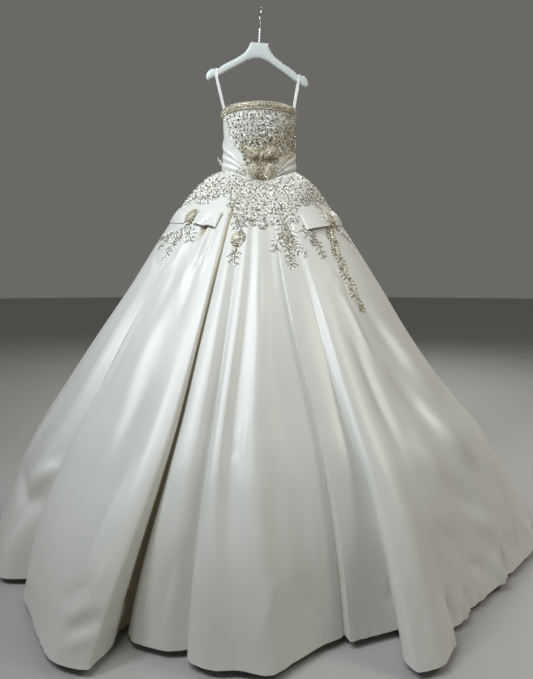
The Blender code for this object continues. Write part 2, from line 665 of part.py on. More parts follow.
def build_hook():
    """Bent steel wire: a stem out of the neck, a bend backwards and an arc over the rail."""
    radius = HOOK_INNER_RADIUS + WIRE_RADIUS
    stem = [(0.0, z) for z in np.linspace(SEAM_GAP - NECK_DROP, STEM_TOP, STEM_POINTS)]
    turn = np.radians(np.linspace(HOOK_START_ANGLE, HOOK_TIP_ANGLE, HOOK_ARC_POINTS))
    arc = [(radius * np.cos(a), radius * np.sin(a) - HOOK_INNER_RADIUS) for a in turn]
    path = np.array([*stem, *HOOK_BEND, *arc])
    ahead = unit(np.gradient(path, axis=0))
    around = np.linspace(0, 2 * np.pi, WIRE_SIDES, endpoint=False)
    side = np.stack([-ahead[:, 1], ahead[:, 0]], axis=1)
    y = path[:, :1] + WIRE_RADIUS * np.cos(around) * side[:, :1]
    z = path[:, 1:] + WIRE_RADIUS * np.cos(around) * side[:, 1:]
    x = WIRE_RADIUS * np.sin(around) + 0 * y
    loft("hanger_hook", hanger_place(np.stack([x, y, z], axis=-1)), HOOK_STEEL)


def build_ribbon(side, sign):
    """A loop over the hanger's notch, its two ends sewn inside the bodice's side seam."""
    x = sign * NOTCH_X
    near = NOTCH_X + RIBBON_WIDTH * np.linspace(-0.5, 0.5, 9)
    top = arm_edges(near)[0].max() + LAY_GAP
    low = arm_edges(near)[1].min()
    half = HANGER_DEPTH / 2 + LAY_GAP
    sine, cosine = np.sin(np.radians(RIBBON_BEND)), np.cos(np.radians(RIBBON_BEND))
    over = zip(RIBBON_CORNER * (1 - sine) - half, top - RIBBON_CORNER * (1 - cosine))
    front = [(x, y, z) for y, z in [(-half, low), (-half, (top + low) / 2), *over]]
    back = [(x, -y, z) for _, y, z in front[::-1]]
    upper = hanger_place(front + back)
    inside = BODICE_GIRTHS[-2].half_width - BODICE_WALL - LAY_GAP
    foot_x = DRESS_X + sign * (inside - RIBBON_FOOT_WIDTH / 2)
    foot_z = NECKLINE_HEIGHT - HOOK_TO_HEM - np.array([RIBBON_FOOT_DEPTH, 0])
    feet = [[(foot_x, s * RIBBON_FOOT_SPREAD, z) for z in foot_z] for s in (-1, 1)]
    path = np.array([*feet[0], *upper, *feet[1][::-1]])
    ahead = unit(np.gradient(path, axis=0))
    wide = hanger_place([(1.0, 0.0, 0.0)])[0]
    wide = unit(wide - ahead * (ahead @ wide)[:, None])
    thick = unit(np.cross(wide, ahead))
    width = np.full(len(path), RIBBON_WIDTH)
    width[[0, 1, -2, -1]] = RIBBON_FOOT_WIDTH
    sections = np.stack(
        [
            path + wide * width[:, None] * a + thick * RIBBON_THICKNESS * b
            for a, b in ((-0.5, 0.0), (0.5, 0.0), (0.5, 1.0), (-0.5, 1.0))
        ],
        axis=1,
    )
    loft(f"ribbon_loop_{side}", sections, RIBBON)


def main():
    """Builds every piece of the dress and its hanger."""
    for old in list(bpy.data.objects):
        bpy.data.objects.remove(old)
    build_hook()
    build_hanger_body()
    skirt, skirt_normals, skirt_angle = build_skirt()
    bodice, bodice_normals, bodice_angle = build_bodice()
    build_band(bodice, bodice_normals)
    for side, sign, front_end in (("left", -1, DRAPE_FRONT_LEFT), ("right", 1, DRAPE_FRONT_RIGHT)):
        build_ribbon(side, sign)
        build_drape(side, front_end, bodice, bodice_normals, bodice_angle)
    for pad in WAIST_BOW:
        build_pad(pad, "bodice")
    for bow in HIP_BOWS:
        build_hip_bow(bow, skirt, skirt_normals, skirt_angle)


main()
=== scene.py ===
"""Looks of an ivory duchess satin A-line wedding dress on its hanger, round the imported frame.

Metres, +Z up, the front towards -Y. The origin is the inner top of the hanger's hook.
Heights in the tables are above the hem. Angles round the dress are in degrees from the
centre front, positive to the right as seen from the front, and 180 is the centre back.
"""

import json
from collections import namedtuple
from functools import partial

import bpy
import numpy as np
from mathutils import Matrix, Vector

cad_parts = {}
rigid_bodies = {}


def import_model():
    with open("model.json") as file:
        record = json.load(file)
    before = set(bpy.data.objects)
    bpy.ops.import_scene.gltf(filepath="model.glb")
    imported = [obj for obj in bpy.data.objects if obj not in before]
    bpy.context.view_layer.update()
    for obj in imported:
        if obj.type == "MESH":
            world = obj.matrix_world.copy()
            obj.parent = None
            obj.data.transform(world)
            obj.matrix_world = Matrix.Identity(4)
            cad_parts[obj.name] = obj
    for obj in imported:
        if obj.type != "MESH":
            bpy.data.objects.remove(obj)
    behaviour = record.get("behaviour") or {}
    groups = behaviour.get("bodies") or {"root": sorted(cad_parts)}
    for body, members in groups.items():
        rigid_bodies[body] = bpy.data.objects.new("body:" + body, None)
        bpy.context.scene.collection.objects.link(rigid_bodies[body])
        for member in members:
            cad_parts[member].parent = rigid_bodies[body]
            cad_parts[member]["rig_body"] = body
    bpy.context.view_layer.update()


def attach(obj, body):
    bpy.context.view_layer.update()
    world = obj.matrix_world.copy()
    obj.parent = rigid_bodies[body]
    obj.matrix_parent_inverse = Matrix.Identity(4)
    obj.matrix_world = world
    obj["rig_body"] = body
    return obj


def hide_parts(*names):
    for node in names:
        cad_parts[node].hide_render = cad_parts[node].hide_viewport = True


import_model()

# Sizes shared with the solids
HOOK_TO_HEM = 1.788
DRESS_X = -0.0055
SIDE_SEAM_HEIGHT = 1.226
FRONT_DIP = 0.049
FRONT_TURN = 5.0
NECKLINE_HEIGHT = 1.437
WAIST_HALF_WIDTH = 0.134
WAIST_FRONT_DEPTH = 0.088
WAIST_BACK_DEPTH = 0.085
SEAM_GAP = 0.0003
BODICE_WALL = 0.0025

# Cloth thicknesses
SATIN_THICKNESS = 0.0014
BODICE_THICKNESS = 0.0022
# Edges that turn by more degrees than this are drawn sharp
SHARP_EDGE_ANGLE = 50

# Net of the skirt
FRONT_FINENESS = 6
BACK_FINENESS = 4
SKIRT_ROWS = 118
ROW_CROWDING = 1.12
HEM_ROWS = (0.9955, 0.9975, 0.9990)
BODICE_COLUMNS = 216
BODICE_ROWS = 54

Section = namedtuple("Section", "drop left right")
# Radius of the plain cone at each share of the way from the waist seam to the hem
SKIRT_SECTIONS = (
    Section(0.000, 0.134, 0.134),
    Section(0.021, 0.188, 0.171),
    Section(0.046, 0.220, 0.205),
    Section(0.078, 0.257, 0.234),
    Section(0.127, 0.303, 0.277),
    Section(0.225, 0.382, 0.357),
    Section(0.347, 0.476, 0.451),
    Section(0.470, 0.580, 0.542),
    Section(0.592, 0.678, 0.645),
    Section(0.715, 0.774, 0.768),
    Section(0.837, 0.853, 0.870),
    Section(0.918, 0.893, 0.921),
    Section(1.000, 0.918, 0.975),
)

# Shares of the way down at which the lines are given: waist, hip, knee and hem
LEVELS = (0.0, 0.26, 0.63, 1.0)
Line = namedtuple("Line", "name cells waist hip knee hem hip_out knee_out hem_out")
# Lines that run down the cloth: how many cells follow each, its angle at every level, and how
# far it stands out from the plain cone
SKIRT_LINES = (
    Line("back seam left", 3, -180, -180, -180, -180, -0.003, -0.008, -0.016),
    Line("back ridge 1", 3, -168, -168, -167, -166, 0.004, 0.014, 0.022),
    Line("back valley 1", 3, -154, -153, -152, -151, -0.004, -0.014, -0.028),
    Line("back ridge 2", 3, -140, -138, -136, -135, 0.004, 0.016, 0.024),
    Line("back valley 2", 3, -124, -123, -121, -120, -0.003, -0.012, -0.024),
    Line("back ridge 3", 3, -109, -108, -106, -104, 0.003, 0.011, 0.020),
    Line("side seam left", 2, -90, -90, -90, -90, 0.000, -0.004, -0.012),
    Line("side swell left", 3, -80, -78, -76, -74, 0.001, 0.003, 0.006),
    Line("side hollow left", 2, -68, -66, -63, -61, 0.000, -0.004, 0.000),
    Line("back lap crest", 2, -60, -57, -53, -52, 0.001, 0.003, 0.009),
    Line("back lap side", 2, -57, -54, -49, -47.2, -0.001, -0.016, -0.060),
    Line("back lap bottom", 2, -54.5, -51.5, -45.4, -43.3, -0.002, -0.034, -0.124),
    Line("left lobe tuck", 2, -53, -50.6, -45.2, -43.1, -0.003, -0.026, -0.074),
    Line("left lobe edge", 2, -51.5, -50, -45.8, -44.5, 0.000, -0.006, -0.031),
    Line("left lobe shoulder", 2, -49, -48, -44, -42.4, 0.001, 0.002, -0.012),
    Line("left lobe flat", 3, -44, -42, -38, -38.0, 0.000, 0.002, 0.005),
    Line("left lobe rise", 2, -35, -33, -29, -31.8, 0.000, 0.004, 0.044),
    Line("left lobe crest", 2, -28, -24, -22.0, -26.2, 0.003, 0.022, 0.075),
    Line("left lobe brow", 2, -25, -20.8, -18.8, -21.5, 0.005, 0.013, 0.056),
    Line("left pleat edge", 2, -23.5, -20.1, -18.3, -21.4, -0.001, -0.006, -0.014),
    Line("left pleat side", 1, -22, -19.7, -18.6, -22.4, -0.006, -0.020, -0.066),
    Line("left pleat seam", 1, -20.5, -19.3, -18.3, -22.0, -0.012, -0.034, -0.096),
    Line("left pleat return", 2, -19, -18.8, -17.8, -20.8, -0.006, -0.019, -0.066),
    Line("centre left rise", 2, -17.5, -17.4, -16.8, -18.6, -0.001, -0.009, -0.046),
    Line("centre left ridge", 2, -15, -14.4, -13.5, -14.0, 0.005, -0.002, -0.044),
    Line("centre left valley", 1, -11.5, -10.9, -10.4, -10.4, -0.005, -0.025, -0.062),
    Line("centre lobe edge", 2, -10.5, -9.9, -10.2, -10.3, -0.001, -0.011, -0.038),
    Line("centre bright ridge", 2, -7.5, -7.0, -8.0, -6.0, 0.006, 0.004, -0.010),
    Line("centre valley", 2, -4.5, -4.0, -5.4, -3.0, -0.003, -0.013, -0.016),
    Line("centre warm ridge", 2, -1, -0.5, -1.4, 0.9, 0.004, 0.002, -0.004),
    Line("centre shade edge", 2, 2.0, 2.0, 1.6, 5.2, 0.001, -0.007, -0.046),
    Line("centre right flat", 2, 6.0, 6.2, 7.4, 10.0, -0.008, -0.031, -0.090),
    Line("right pleat lip", 1, 9.0, 9.4, 12.6, 13.0, -0.009, -0.037, -0.106),
    Line("right pleat seam", 1, 10.5, 9.9, 13.3, 13.6, -0.010, -0.039, -0.113),
    Line("right pleat edge", 2, 12.0, 10.5, 13.5, 13.9, 0.000, -0.017, -0.086),
    Line("right strip", 2, 15.5, 15.5, 16.8, 17.6, -0.002, -0.020, -0.092),
    Line("right lobe tuck", 2, 19.5, 20.2, 20.6, 22.6, -0.005, -0.030, -0.094),
    Line("right lobe side", 1, 21.5, 21.6, 20.5, 21.2, -0.003, -0.018, -0.046),
    Line("right lobe edge", 1, 23.0, 22.8, 20.7, 19.3, 0.001, -0.004, 0.000),
    Line("right lobe brow", 2, 24.5, 24.0, 21.6, 19.8, 0.004, 0.012, 0.036),
    Line("right lobe crest", 2, 27.5, 26.5, 23.6, 22.6, 0.003, 0.018, 0.040),
    Line("right lobe fall", 3, 33, 32, 30, 30.5, 0.000, 0.004, -0.036),
    Line("right hollow", 3, 44, 44, 44, 41, -0.002, -0.016, -0.070),
    Line("right hollow end", 3, 57, 56, 54, 53.0, 0.000, -0.008, -0.056),
    Line("right swell", 3, 72, 71, 68, 66.0, 0.001, 0.003, -0.014),
    Line("side seam right", 3, 90, 90, 90, 88, 0.000, -0.002, 0.002),
    Line("back ridge 4", 3, 107, 106, 104, 102, 0.003, 0.012, 0.022),
    Line("back valley 3", 3, 123, 121, 119, 118, -0.003, -0.013, -0.025),
    Line("back ridge 5", 3, 138, 137, 135, 134, 0.004, 0.015, 0.022),
    Line("back valley 4", 3, 153, 152, 151, 150, -0.004, -0.013, -0.030),
    Line("back ridge 6", 3, 168, 168, 167, 166, 0.004, 0.014, 0.022),
    Line("back seam right", 0, 180, 180, 180, 180, -0.003, -0.008, -0.016),
)
Panel = namedtuple("Panel", "node start stop")
SKIRT_PANELS = (
    Panel("skirt_back_left", "back seam left", "side seam left"),
    Panel("skirt_front_left", "side seam left", "left pleat seam"),
    Panel("skirt_front_centre", "left pleat seam", "right pleat seam"),
    Panel("skirt_front_right", "right pleat seam", "side seam right"),
    Panel("skirt_back_right", "side seam right", "back seam right"),
)

Girth = namedtuple("Girth", "rise half_width front back")
# Half width and depths of the bodice at each share of the way from waist seam to neckline
BODICE_GIRTHS = (
    Girth(0.00, WAIST_HALF_WIDTH, WAIST_FRONT_DEPTH, WAIST_BACK_DEPTH),
    Girth(0.15, 0.1310, 0.0890, 0.0850),
    Girth(0.35, 0.1285, 0.0945, 0.0870),
    Girth(0.60, 0.1290, 0.1080, 0.0920),
    Girth(0.82, 0.1305, 0.1140, 0.0960),
    Girth(1.00, 0.1310, 0.1130, 0.0970),
)

# Beaded band on the neckline
BAND_HEIGHT = 0.026
BAND_THICKNESS = 0.0046
BAND_LIFT = 0.0004
BAND_ROWS = 11
BAND_COLUMNS = 360

# Pleated side drapes on the bodice
Drape = namedtuple("Drape", "node side front_end")
DRAPES = (Drape("waist_drape_left", -1, -30.0), Drape("waist_drape_right", 1, 40.0))
DRAPE_SIDE_TOP = 1.338
DRAPE_FRONT_TOP = 1.212
DRAPE_LIFT = 0.0004
DRAPE_THICKNESS = 0.0016
DRAPE_PLEAT_HEIGHT = 0.0036
DRAPE_PLEATS = 3
DRAPE_SWEEP = 0.8
DRAPE_COLUMNS = 60
DRAPE_ROWS = 40
# How far beads stand off the drapes
DRAPE_CLEARANCE = 0.0006

Pad = namedtuple("Pad", "name angle height half_width half_height turn thickness")
# Thick beaded bow at the centre of the waist
WAIST_BOW = (
    Pad("waist_bow_loop_left", -13.0, 1.271, 0.0240, 0.0175, -12, 0.011),
    Pad("waist_bow_loop_right", 23.0, 1.271, 0.0240, 0.0175, 12, 0.011),
    Pad("waist_bow_knot", 5.0, 1.262, 0.0052, 0.0120, 0, 0.013),
    Pad("waist_bow_tail_left", -14.5, 1.2105, 0.0165, 0.0225, 12, 0.009),
    Pad("waist_bow_tail_right", 22.5, 1.2085, 0.0155, 0.0225, -8, 0.009),
)
HIP_KNOTS = (
    Pad("hip_bow_left_knot", -48.5, 1.037, 0.0185, 0.0245, 0, 0.0170),
    Pad("hip_bow_right_knot", 57.0, 1.034, 0.0185, 0.0245, 0, 0.0170),
)
PAD_RINGS = 12
PAD_SECTORS = 48
PAD_EDGE = 0.0015
PAD_GAP = 0.0010
PAD_FULLNESS = 0.97
# Way over which a pad takes the direction of the dress under it
PAD_FACING_STEP = 0.006

HipBow = namedtuple("HipBow", "side sign knot height outer_end inner_end")
HIP_BOWS = (HipBow("left", -1, 48.5, 1.037, 80.0, 27.0), HipBow("right", 1, 57.0, 1.034, 84.0, 32.0))
BOW_HALF_HEIGHT = 0.0255
BOW_RISE_PER_DEGREE = 0.0008
BOW_WALL = 0.0013
BOW_GAP = 0.0009
BOW_PUFF = 0.006
BOW_LOOP_DEPTH = 0.0125
BOW_LOOP_CROWN = 0.28
# How much a band narrows at its knot and over what angle, and the gathers beside the knot
BOW_PINCH = 0.14
BOW_PINCH_ANGLE = 9.0
GATHER_DEPTH = 0.0012
GATHER_ANGLE = 5.0
GATHERS = 3.2
KNOT_HALF_ANGLE = 4.6
# Net of a bow's band and loop, and of the bend at the loop's free end
BOW_ROWS = 25
BOW_BAND_COLUMNS = 70
BOW_LOOP_COLUMNS = 50
BOW_BEND_COLUMNS = 11
BOW_BEND_ANGLE = 75
# How far beads stay clear of a band's edges, and in degrees of its ends
BOW_CLEARANCE = 0.009
BOW_END_CLEARANCE = 2

# Hanger, in its own frame below the hook's inner top
HANGER_TILT = 2.7
HANGER_YAW = 4.0
NECK_DROP = 0.114
HANGER_DEPTH = 0.014
HANGER_ROUNDING = 3.0
# Where the arm's end starts to round off, over what length, and how flat its tip stays
HANGER_END_START = 0.168
HANGER_END_LENGTH = 0.0165
HANGER_END_FLATNESS = 0.06
HANGER_STATIONS = 130
HANGER_STATION_CROWDING = 1.15
HANGER_SIDES = 40
HANGER_SHARP_ANGLE = 40
Arm = namedtuple("Arm", "x top bottom")
# Upper and lower edge of the hanger's arm below the top of its neck
HANGER_ARM = (
    Arm(0.000, 0.0000, -0.0530),
    Arm(0.011, 0.0000, -0.0545),
    Arm(0.022, 0.0000, -0.0572),
    Arm(0.0305, -0.0004, -0.0600),
    Arm(0.0345, -0.0120, -0.0615),
    Arm(0.0430, -0.0270, -0.0660),
    Arm(0.0540, -0.0405, -0.0722),
    Arm(0.0680, -0.0510, -0.0805),
    Arm(0.0850, -0.0620, -0.0905),
    Arm(0.1050, -0.0730, -0.1025),
    Arm(0.1250, -0.0850, -0.1150),
    Arm(0.1350, -0.0928, -0.1212),
    Arm(0.1420, -0.0998, -0.1245),
    Arm(0.1475, -0.1042, -0.1268),
    Arm(0.1520, -0.1018, -0.1288),
    Arm(0.1580, -0.0998, -0.1318),
    Arm(0.1650, -0.1008, -0.1352),
    Arm(0.1720, -0.1048, -0.1388),
    Arm(0.1775, -0.1105, -0.1404),
    Arm(0.1815, -0.1170, -0.1385),
    Arm(0.1838, -0.1245, -0.1310),
)
NOTCH_X = 0.1472

# Steel hook
WIRE_RADIUS = 0.00225
HOOK_INNER_RADIUS = 0.021
HOOK_TIP_ANGLE = 195.0
HOOK_START_ANGLE = -60.0
STEM_TOP = -0.066
HOOK_BEND = ((0.0025, -0.0595), (0.0065, -0.0510))
HOOK_ARC_POINTS = 60
HOOK_POINTS = 150
HOOK_TIP_POINTS = 5
WIRE_SIDES = 24
WIRE_SHARP_ANGLE = 60

# Ribbon loops
RIBBON_WIDTH = 0.0095
RIBBON_FOOT_WIDTH = 0.0070
RIBBON_THICKNESS = 0.0009
RIBBON_FOOT_DEPTH = 0.022
RIBBON_FOOT_SPREAD = 0.0045
RIBBON_CORNER = 0.0035
RIBBON_CORNER_POINTS = 8
RIBBON_POINTS = 260
RIBBON_COLUMNS = 5

# Lower edge of the embroidered yoke: height at each angle
YOKE_EDGE = (
    (-180, 1.130), (-130, 1.122), (-90, 1.108), (-70, 1.112), (-56, 1.102), (-45, 1.098),
    (-36, 1.104), (-29, 1.120), (-25, 1.086), (-20, 1.040), (-15, 1.016), (-12, 0.992),
    (-8, 1.016), (-4, 1.012), (1.5, 0.984), (6, 1.004), (11, 1.014), (14.5, 0.992),
    (20, 1.008), (26, 1.020), (33, 1.068), (45, 1.090), (57, 1.095), (75, 1.104),
    (90, 1.108), (130, 1.122), (180, 1.130),
)
# Height from which the yoke's nets run down, then where its nets of motifs, seed beads and
# crystals end and how far apart their places are
YOKE_TOP = 1.222
YOKE_MOTIF_NET = (0.985, 0.0188)
YOKE_SEED_NET = (0.995, 0.0120)
YOKE_CRYSTAL_NET = (0.990, 0.0300)
Net = namedtuple("Net", "low high top foot spacing seed")
# Nets of places for beads: from angle to angle in degrees, from height down to height, how far
# apart the places are, and the seed that shakes them
DRAPE_FRONT_NET = Net(-46, 56, 1.228, 1.172, 0.0150, 21)
HEART_MOTIF_NET = Net(-76, 90, 1.412, 1.178, 0.0140, 31)
HEART_CRYSTAL_NET = Net(-66, 88, 1.405, 1.300, 0.0210, 51)
HEART_SEED_NET = Net(-60, 86, 1.290, 1.180, 0.0072, 41)
WAIST_POINT_NET = Net(-20, 30, 1.252, 1.230, 0.0036, 43)
# Edge of the beaded front of the bodice: angles at its left and right at each height
HEART_EDGE = (
    (1.178, -8, 14), (1.205, -14, 22), (1.222, -22, 29), (1.240, -30, 40), (1.262, -39, 54),
    (1.300, -51, 80), (1.340, -58, 88), (1.385, -64, 88), (1.415, -74, 90),
)
Spray = namedtuple("Spray", "angle height heading length bend twigs leaf")
# Single sprays on the skirt: where the stem starts, its heading from up (to the right), its
# length, how far it bends, its number of twigs and the size of their leaves
SPRAYS = (
    # left cascade
    (-15.0, 1.030, 188, 0.054, -34, 5, 0.0078),
    (-10.6, 1.030, 170, 0.054, 32, 5, 0.0078),
    (-12.2, 0.926, 184, 0.056, -14, 5, 0.0080),
    # right cascade
    (15.4, 1.012, 196, 0.088, -22, 8, 0.0080),
    (18.4, 1.010, 164, 0.082, 22, 8, 0.0080),
    (16.6, 0.962, 184, 0.110, 6, 9, 0.0084),
    (12.4, 0.972, 198, 0.070, 10, 6, 0.0078),
    (18.6, 0.948, 158, 0.060, -30, 6, 0.0078),
    (14.6, 0.900, 150, 0.040, 26, 4, 0.0076),
    # sprigs left of the right bow
    (35.8, 1.002, 202, 0.066, -30, 6, 0.0080),
    (33.4, 0.964, 168, 0.080, 12, 8, 0.0080),
    (29.8, 1.004, 196, 0.044, -24, 4, 0.0076),
    # right bow, outside
    (59.5, 1.016, 146, 0.074, -34, 7, 0.0080),
    (63.5, 0.984, 124, 0.078, 36, 7, 0.0080),
    # above the right bow
    (44.0, 1.122, 172, 0.058, 16, 6, 0.0076),
    (52.5, 1.130, 162, 0.074, 18, 7, 0.0078),
    # left bow, outside and below
    (-49.6, 1.012, 204, 0.058, 12, 6, 0.0080),
    (-55.0, 0.990, 246, 0.100, 26, 9, 0.0082),
    (-51.6, 0.972, 188, 0.084, -16, 8, 0.0080),
    (-45.2, 1.004, 160, 0.072, -16, 7, 0.0080),
    (-58.5, 0.970, 214, 0.050, 20, 5, 0.0076),
    # above the left bow
    (-40.5, 1.128, 188, 0.064, 26, 6, 0.0076),
    (-47.0, 1.128, 198, 0.060, 22, 6, 0.0076),
    # outer sides
    (-62.0, 1.122, 200, 0.048, 24, 5, 0.0074),
    (74.0, 1.114, 170, 0.048, 22, 5, 0.0074),
)
SPRAY_LEAF_SCALE = 1.16
# Beaded streamer that falls from the right hip bow: angle and height down its middle
STREAMER = (
    (52.4, 1.018), (49.8, 0.985), (47.2, 0.950), (45.2, 0.910), (44.0, 0.865),
    (43.4, 0.820), (43.2, 0.775), (43.0, 0.735),
)
STREAMER_HALF_WIDTH = 0.017
# Steps along the streamer, how many there are from flower to flower, and its sway to the sides
STREAMER_STEPS = 58
STREAMER_FLOWER_STEPS = 6
STREAMER_SWAY = 0.005
STREAMER_FLOWER_ASIDE = 0.007
STREAMER_BEAD = 0.0028


def pchip(x, y, at):
    """Smooth curve through (x, y) that never overshoots its points; y may have more axes."""
    x = np.asarray(x, float)
    y = np.asarray(y, float)
    at = np.asarray(at, float)
    tail = (1,) * (y.ndim - 1)
    step = np.diff(x).reshape(-1, *tail)
    rise = np.diff(y, axis=0) / step
    before, after = 2 * step[1:] + step[:-1], step[1:] + 2 * step[:-1]
    same = rise[:-1] * rise[1:] > 0
    safe = np.where(same, rise[:-1], 1.0), np.where(same, rise[1:], 1.0)
    mean = (before + after) / (before / safe[0] + after / safe[1])
    slope = np.concatenate([rise[:1], np.where(same, mean, 0.0), rise[-1:]])
    k = np.clip(np.searchsorted(x, at, side="right") - 1, 0, len(x) - 2)
    t = ((at - x[k]) / (x[k + 1] - x[k])).reshape(-1, *tail)
    h = step[k]
    rest = 1 - t
    return (
        y[k] * (1 + 2 * t) * rest**2
        + h * slope[k] * t * rest**2
        + y[k + 1] * t**2 * (3 - 2 * t)
        - h * slope[k + 1] * t**2 * rest
    )


def unit(vectors):
    """Vectors of length one."""
    return vectors / np.maximum(np.linalg.norm(vectors, axis=-1, keepdims=True), 1e-12)


def way_along(points):
    """Distance of each point of a line from its start."""
    return np.concatenate([[0], np.cumsum(np.linalg.norm(np.diff(points, axis=0), axis=1))])


def girth_radius(angle, half_width, front, back):
    """Distance from the axis to an oval: 1 / length of (sin over half width, cos over depth)."""
    depth = np.where(np.cos(angle) > 0, front, back)
    return 1 / np.hypot(np.sin(angle) / half_width, np.cos(angle) / depth)


def waist_height(angle):
    """Height of the waist seam: level, less a dip that goes with the cosine squared in front."""
    return SIDE_SEAM_HEIGHT - FRONT_DIP * np.maximum(np.cos(angle - np.radians(FRONT_TURN)), 0) ** 2


def place(radius, angle, height):
    """Points in the dress from radius, angle and height: (r sin a, -r cos a, height)."""
    return np.stack(
        [
            DRESS_X + radius * np.sin(angle),
            -radius * np.cos(angle),
            height - HOOK_TO_HEM + 0 * radius,
        ],
        axis=-1,
    )


def faced_out(points, faces):
    """Faces of a closed shape, all turned round if the volume inside comes out below zero."""
    middle, volume = points.mean(axis=0), 0.0
    for block in faces:
        corners = points[block] - middle
        for k in range(1, block.shape[1] - 1):
            turned = np.cross(corners[:, k], corners[:, k + 1])
            volume += np.einsum("ij,ij->", corners[:, 0], turned)
    return faces if volume > 0 else [block[:, ::-1] for block in faces]


def outward(grid):
    """Outward normals of a grid: the cross product of its steps down and across."""
    return unit(np.cross(np.gradient(grid, axis=1), np.gradient(grid, axis=0)))


def hex_linear(colour):
    """Linear RGBA from an sRGB hex value such as "#D8D6CC"."""
    value = np.array([int(colour[k : k + 2], 16) for k in (1, 3, 5)]) / 255
    linear = np.where(value <= 0.04045, value / 12.92, ((value + 0.055) / 1.055) ** 2.4)
    return (*[float(v) for v in linear], 1.0)


def add_node(tree, kind, settings=(), links=()):
    """Adds a node, sets its properties or socket values, and links (socket, output) pairs."""
    made = tree.nodes.new(kind)
    for name, value in dict(settings).items():
        if isinstance(name, int) or name in made.inputs:
            made.inputs[name].default_value = value
        else:
            setattr(made, name, value)
    for socket, output in links:
        tree.links.new(output, made.inputs[socket])
    return made


def ramp(tree, factor, stops):
    """A colour ramp through (position, hex colour) stops, driven by a factor."""
    made = add_node(tree, "ShaderNodeValToRGB", links=[("Fac", factor)])
    bar = made.color_ramp
    bar.elements[0].position, bar.elements[0].color = stops[0][0], hex_linear(stops[0][1])
    bar.elements[1].position, bar.elements[1].color = stops[-1][0], hex_linear(stops[-1][1])
    for position, colour in stops[1:-1]:
        bar.elements.new(position).color = hex_linear(colour)
    return made.outputs["Color"]


def new_material(name, settings):
    """A material whose Principled shader has the given socket values, its tree and shader."""
    material = bpy.data.materials.new(name)
    material.use_nodes = True
    tree = material.node_tree
    shader = tree.nodes["Principled BSDF"]
    for socket, value in settings.items():
        shader.inputs[socket].default_value = value
    return material, tree, shader


# Thread pitch of duchess satin is near 0.12 mm, too fine to show, so slubs are drawn at 1.6 mm
SATIN_SLUB = 0.0016
SATIN_CLOUD = 0.35
SATIN_DRIFT = 0.10


def duchess_satin():
    """Heavy silk-faced satin, woven and calendered: a soft broad sheen, cool in the light, with a
    painted warm shade mixed into its colour where it is folded deep."""
    material, tree, shader = new_material(
        "duchess_satin",
        {
            "IOR": 1.5,
            "Specular IOR Level": 0.75,
            "Sheen Weight": 0.15,
            "Sheen Roughness": 0.4,
            "Coat Weight": 0.08,
            "Coat Roughness": 0.32,
        },
    )
    where = add_node(tree, "ShaderNodeTexCoord").outputs["Object"]
    cloud = add_node(
        tree,
        "ShaderNodeTexNoise",
        {"Scale": 1 / SATIN_CLOUD, "Detail": 3.0, "Roughness": 0.55},
        [("Vector", where)],
    )
    depth = add_node(tree, "ShaderNodeAttribute", {"attribute_name": "painted_fold_shade"})
    tone = ramp(tree, cloud.outputs["Fac"], [(0.3, "#D3D3CA"), (0.7, "#DCDBD3")])
    # Painted warm shade: the colour is mixed toward tan by the fold shade attribute painted on the
    # skirt's pleats and tucks and the drapes' hollows
    painted_shade_mix = add_node(
        tree,
        "ShaderNodeMix",
        {"data_type": "RGBA", 7: hex_linear("#A8997C")},
        [(0, depth.outputs["Fac"]), (6, tone)],
    )
    tree.links.new(painted_shade_mix.outputs[2], shader.inputs["Base Color"])
    slub = add_node(
        tree,
        "ShaderNodeTexNoise",
        {"Scale": 1 / SATIN_SLUB, "Detail": 2.0},
        [("Vector", where)],
    )
    bump = add_node(
        tree,
        "ShaderNodeBump",
        {"Strength": 0.10, "Distance": 0.0003},
        [("Height", slub.outputs["Fac"])],
    )
    # The cloth's own slow waviness, which makes its sheen drift
    tall = add_node(tree, "ShaderNodeMapping", {"Scale": (1.0, 1.0, 0.18)}, [("Vector", where)])
    drift = add_node(
        tree,
        "ShaderNodeTexNoise",
        {"Scale": 1 / SATIN_DRIFT, "Detail": 1.5, "Roughness": 0.4},
        [("Vector", tall.outputs["Vector"])],
    )
    water = add_node(
        tree,
        "ShaderNodeBump",
        {"Strength": 0.4, "Distance": 0.005},
        [("Height", drift.outputs["Fac"]), ("Normal", bump.outputs["Normal"])],
    )
    tree.links.new(water.outputs["Normal"], shader.inputs["Normal"])
    rough = add_node(
        tree,
        "ShaderNodeMapRange",
        {"From Min": 0.3, "From Max": 0.7, "To Min": 0.36, "To Max": 0.44},
        [("Value", cloud.outputs["Fac"])],
    )
    tree.links.new(rough.outputs["Result"], shader.inputs["Roughness"])
    return material


# Bead colours picked by a tone random from bead to bead: the dark end is a painted shaded side, the
# bright end a painted sparkle of the silver lining
SILVER = ("#6F6A59", "#A09B8A", "#CCC8BA", "#EDEAE0", "#FFFFFC")
CHAMPAGNE = ("#665C44", "#9C9072", "#C6BB9C", "#E6DFC9", "#FCF9F0")


def lined_beads(name, tones):
    """Silver-lined glass beads, clear or champagne coloured: each bead's tone, random from bead
    to bead, picks its colour, with painted sparkle at the bright end and painted shade at the dark
    end."""
    material, tree, shader = new_material(
        name,
        {"Metallic": 0.4, "Roughness": 0.34, "Coat Weight": 0.4, "Coat Roughness": 0.12},
    )
    tone = add_node(tree, "ShaderNodeAttribute", {"attribute_name": "bead_tone"})
    colour = ramp(tree, tone.outputs["Fac"], list(zip((0.0, 0.22, 0.5, 0.8, 1.0), tones)))
    tree.links.new(colour, shader.inputs["Base Color"])
    return material


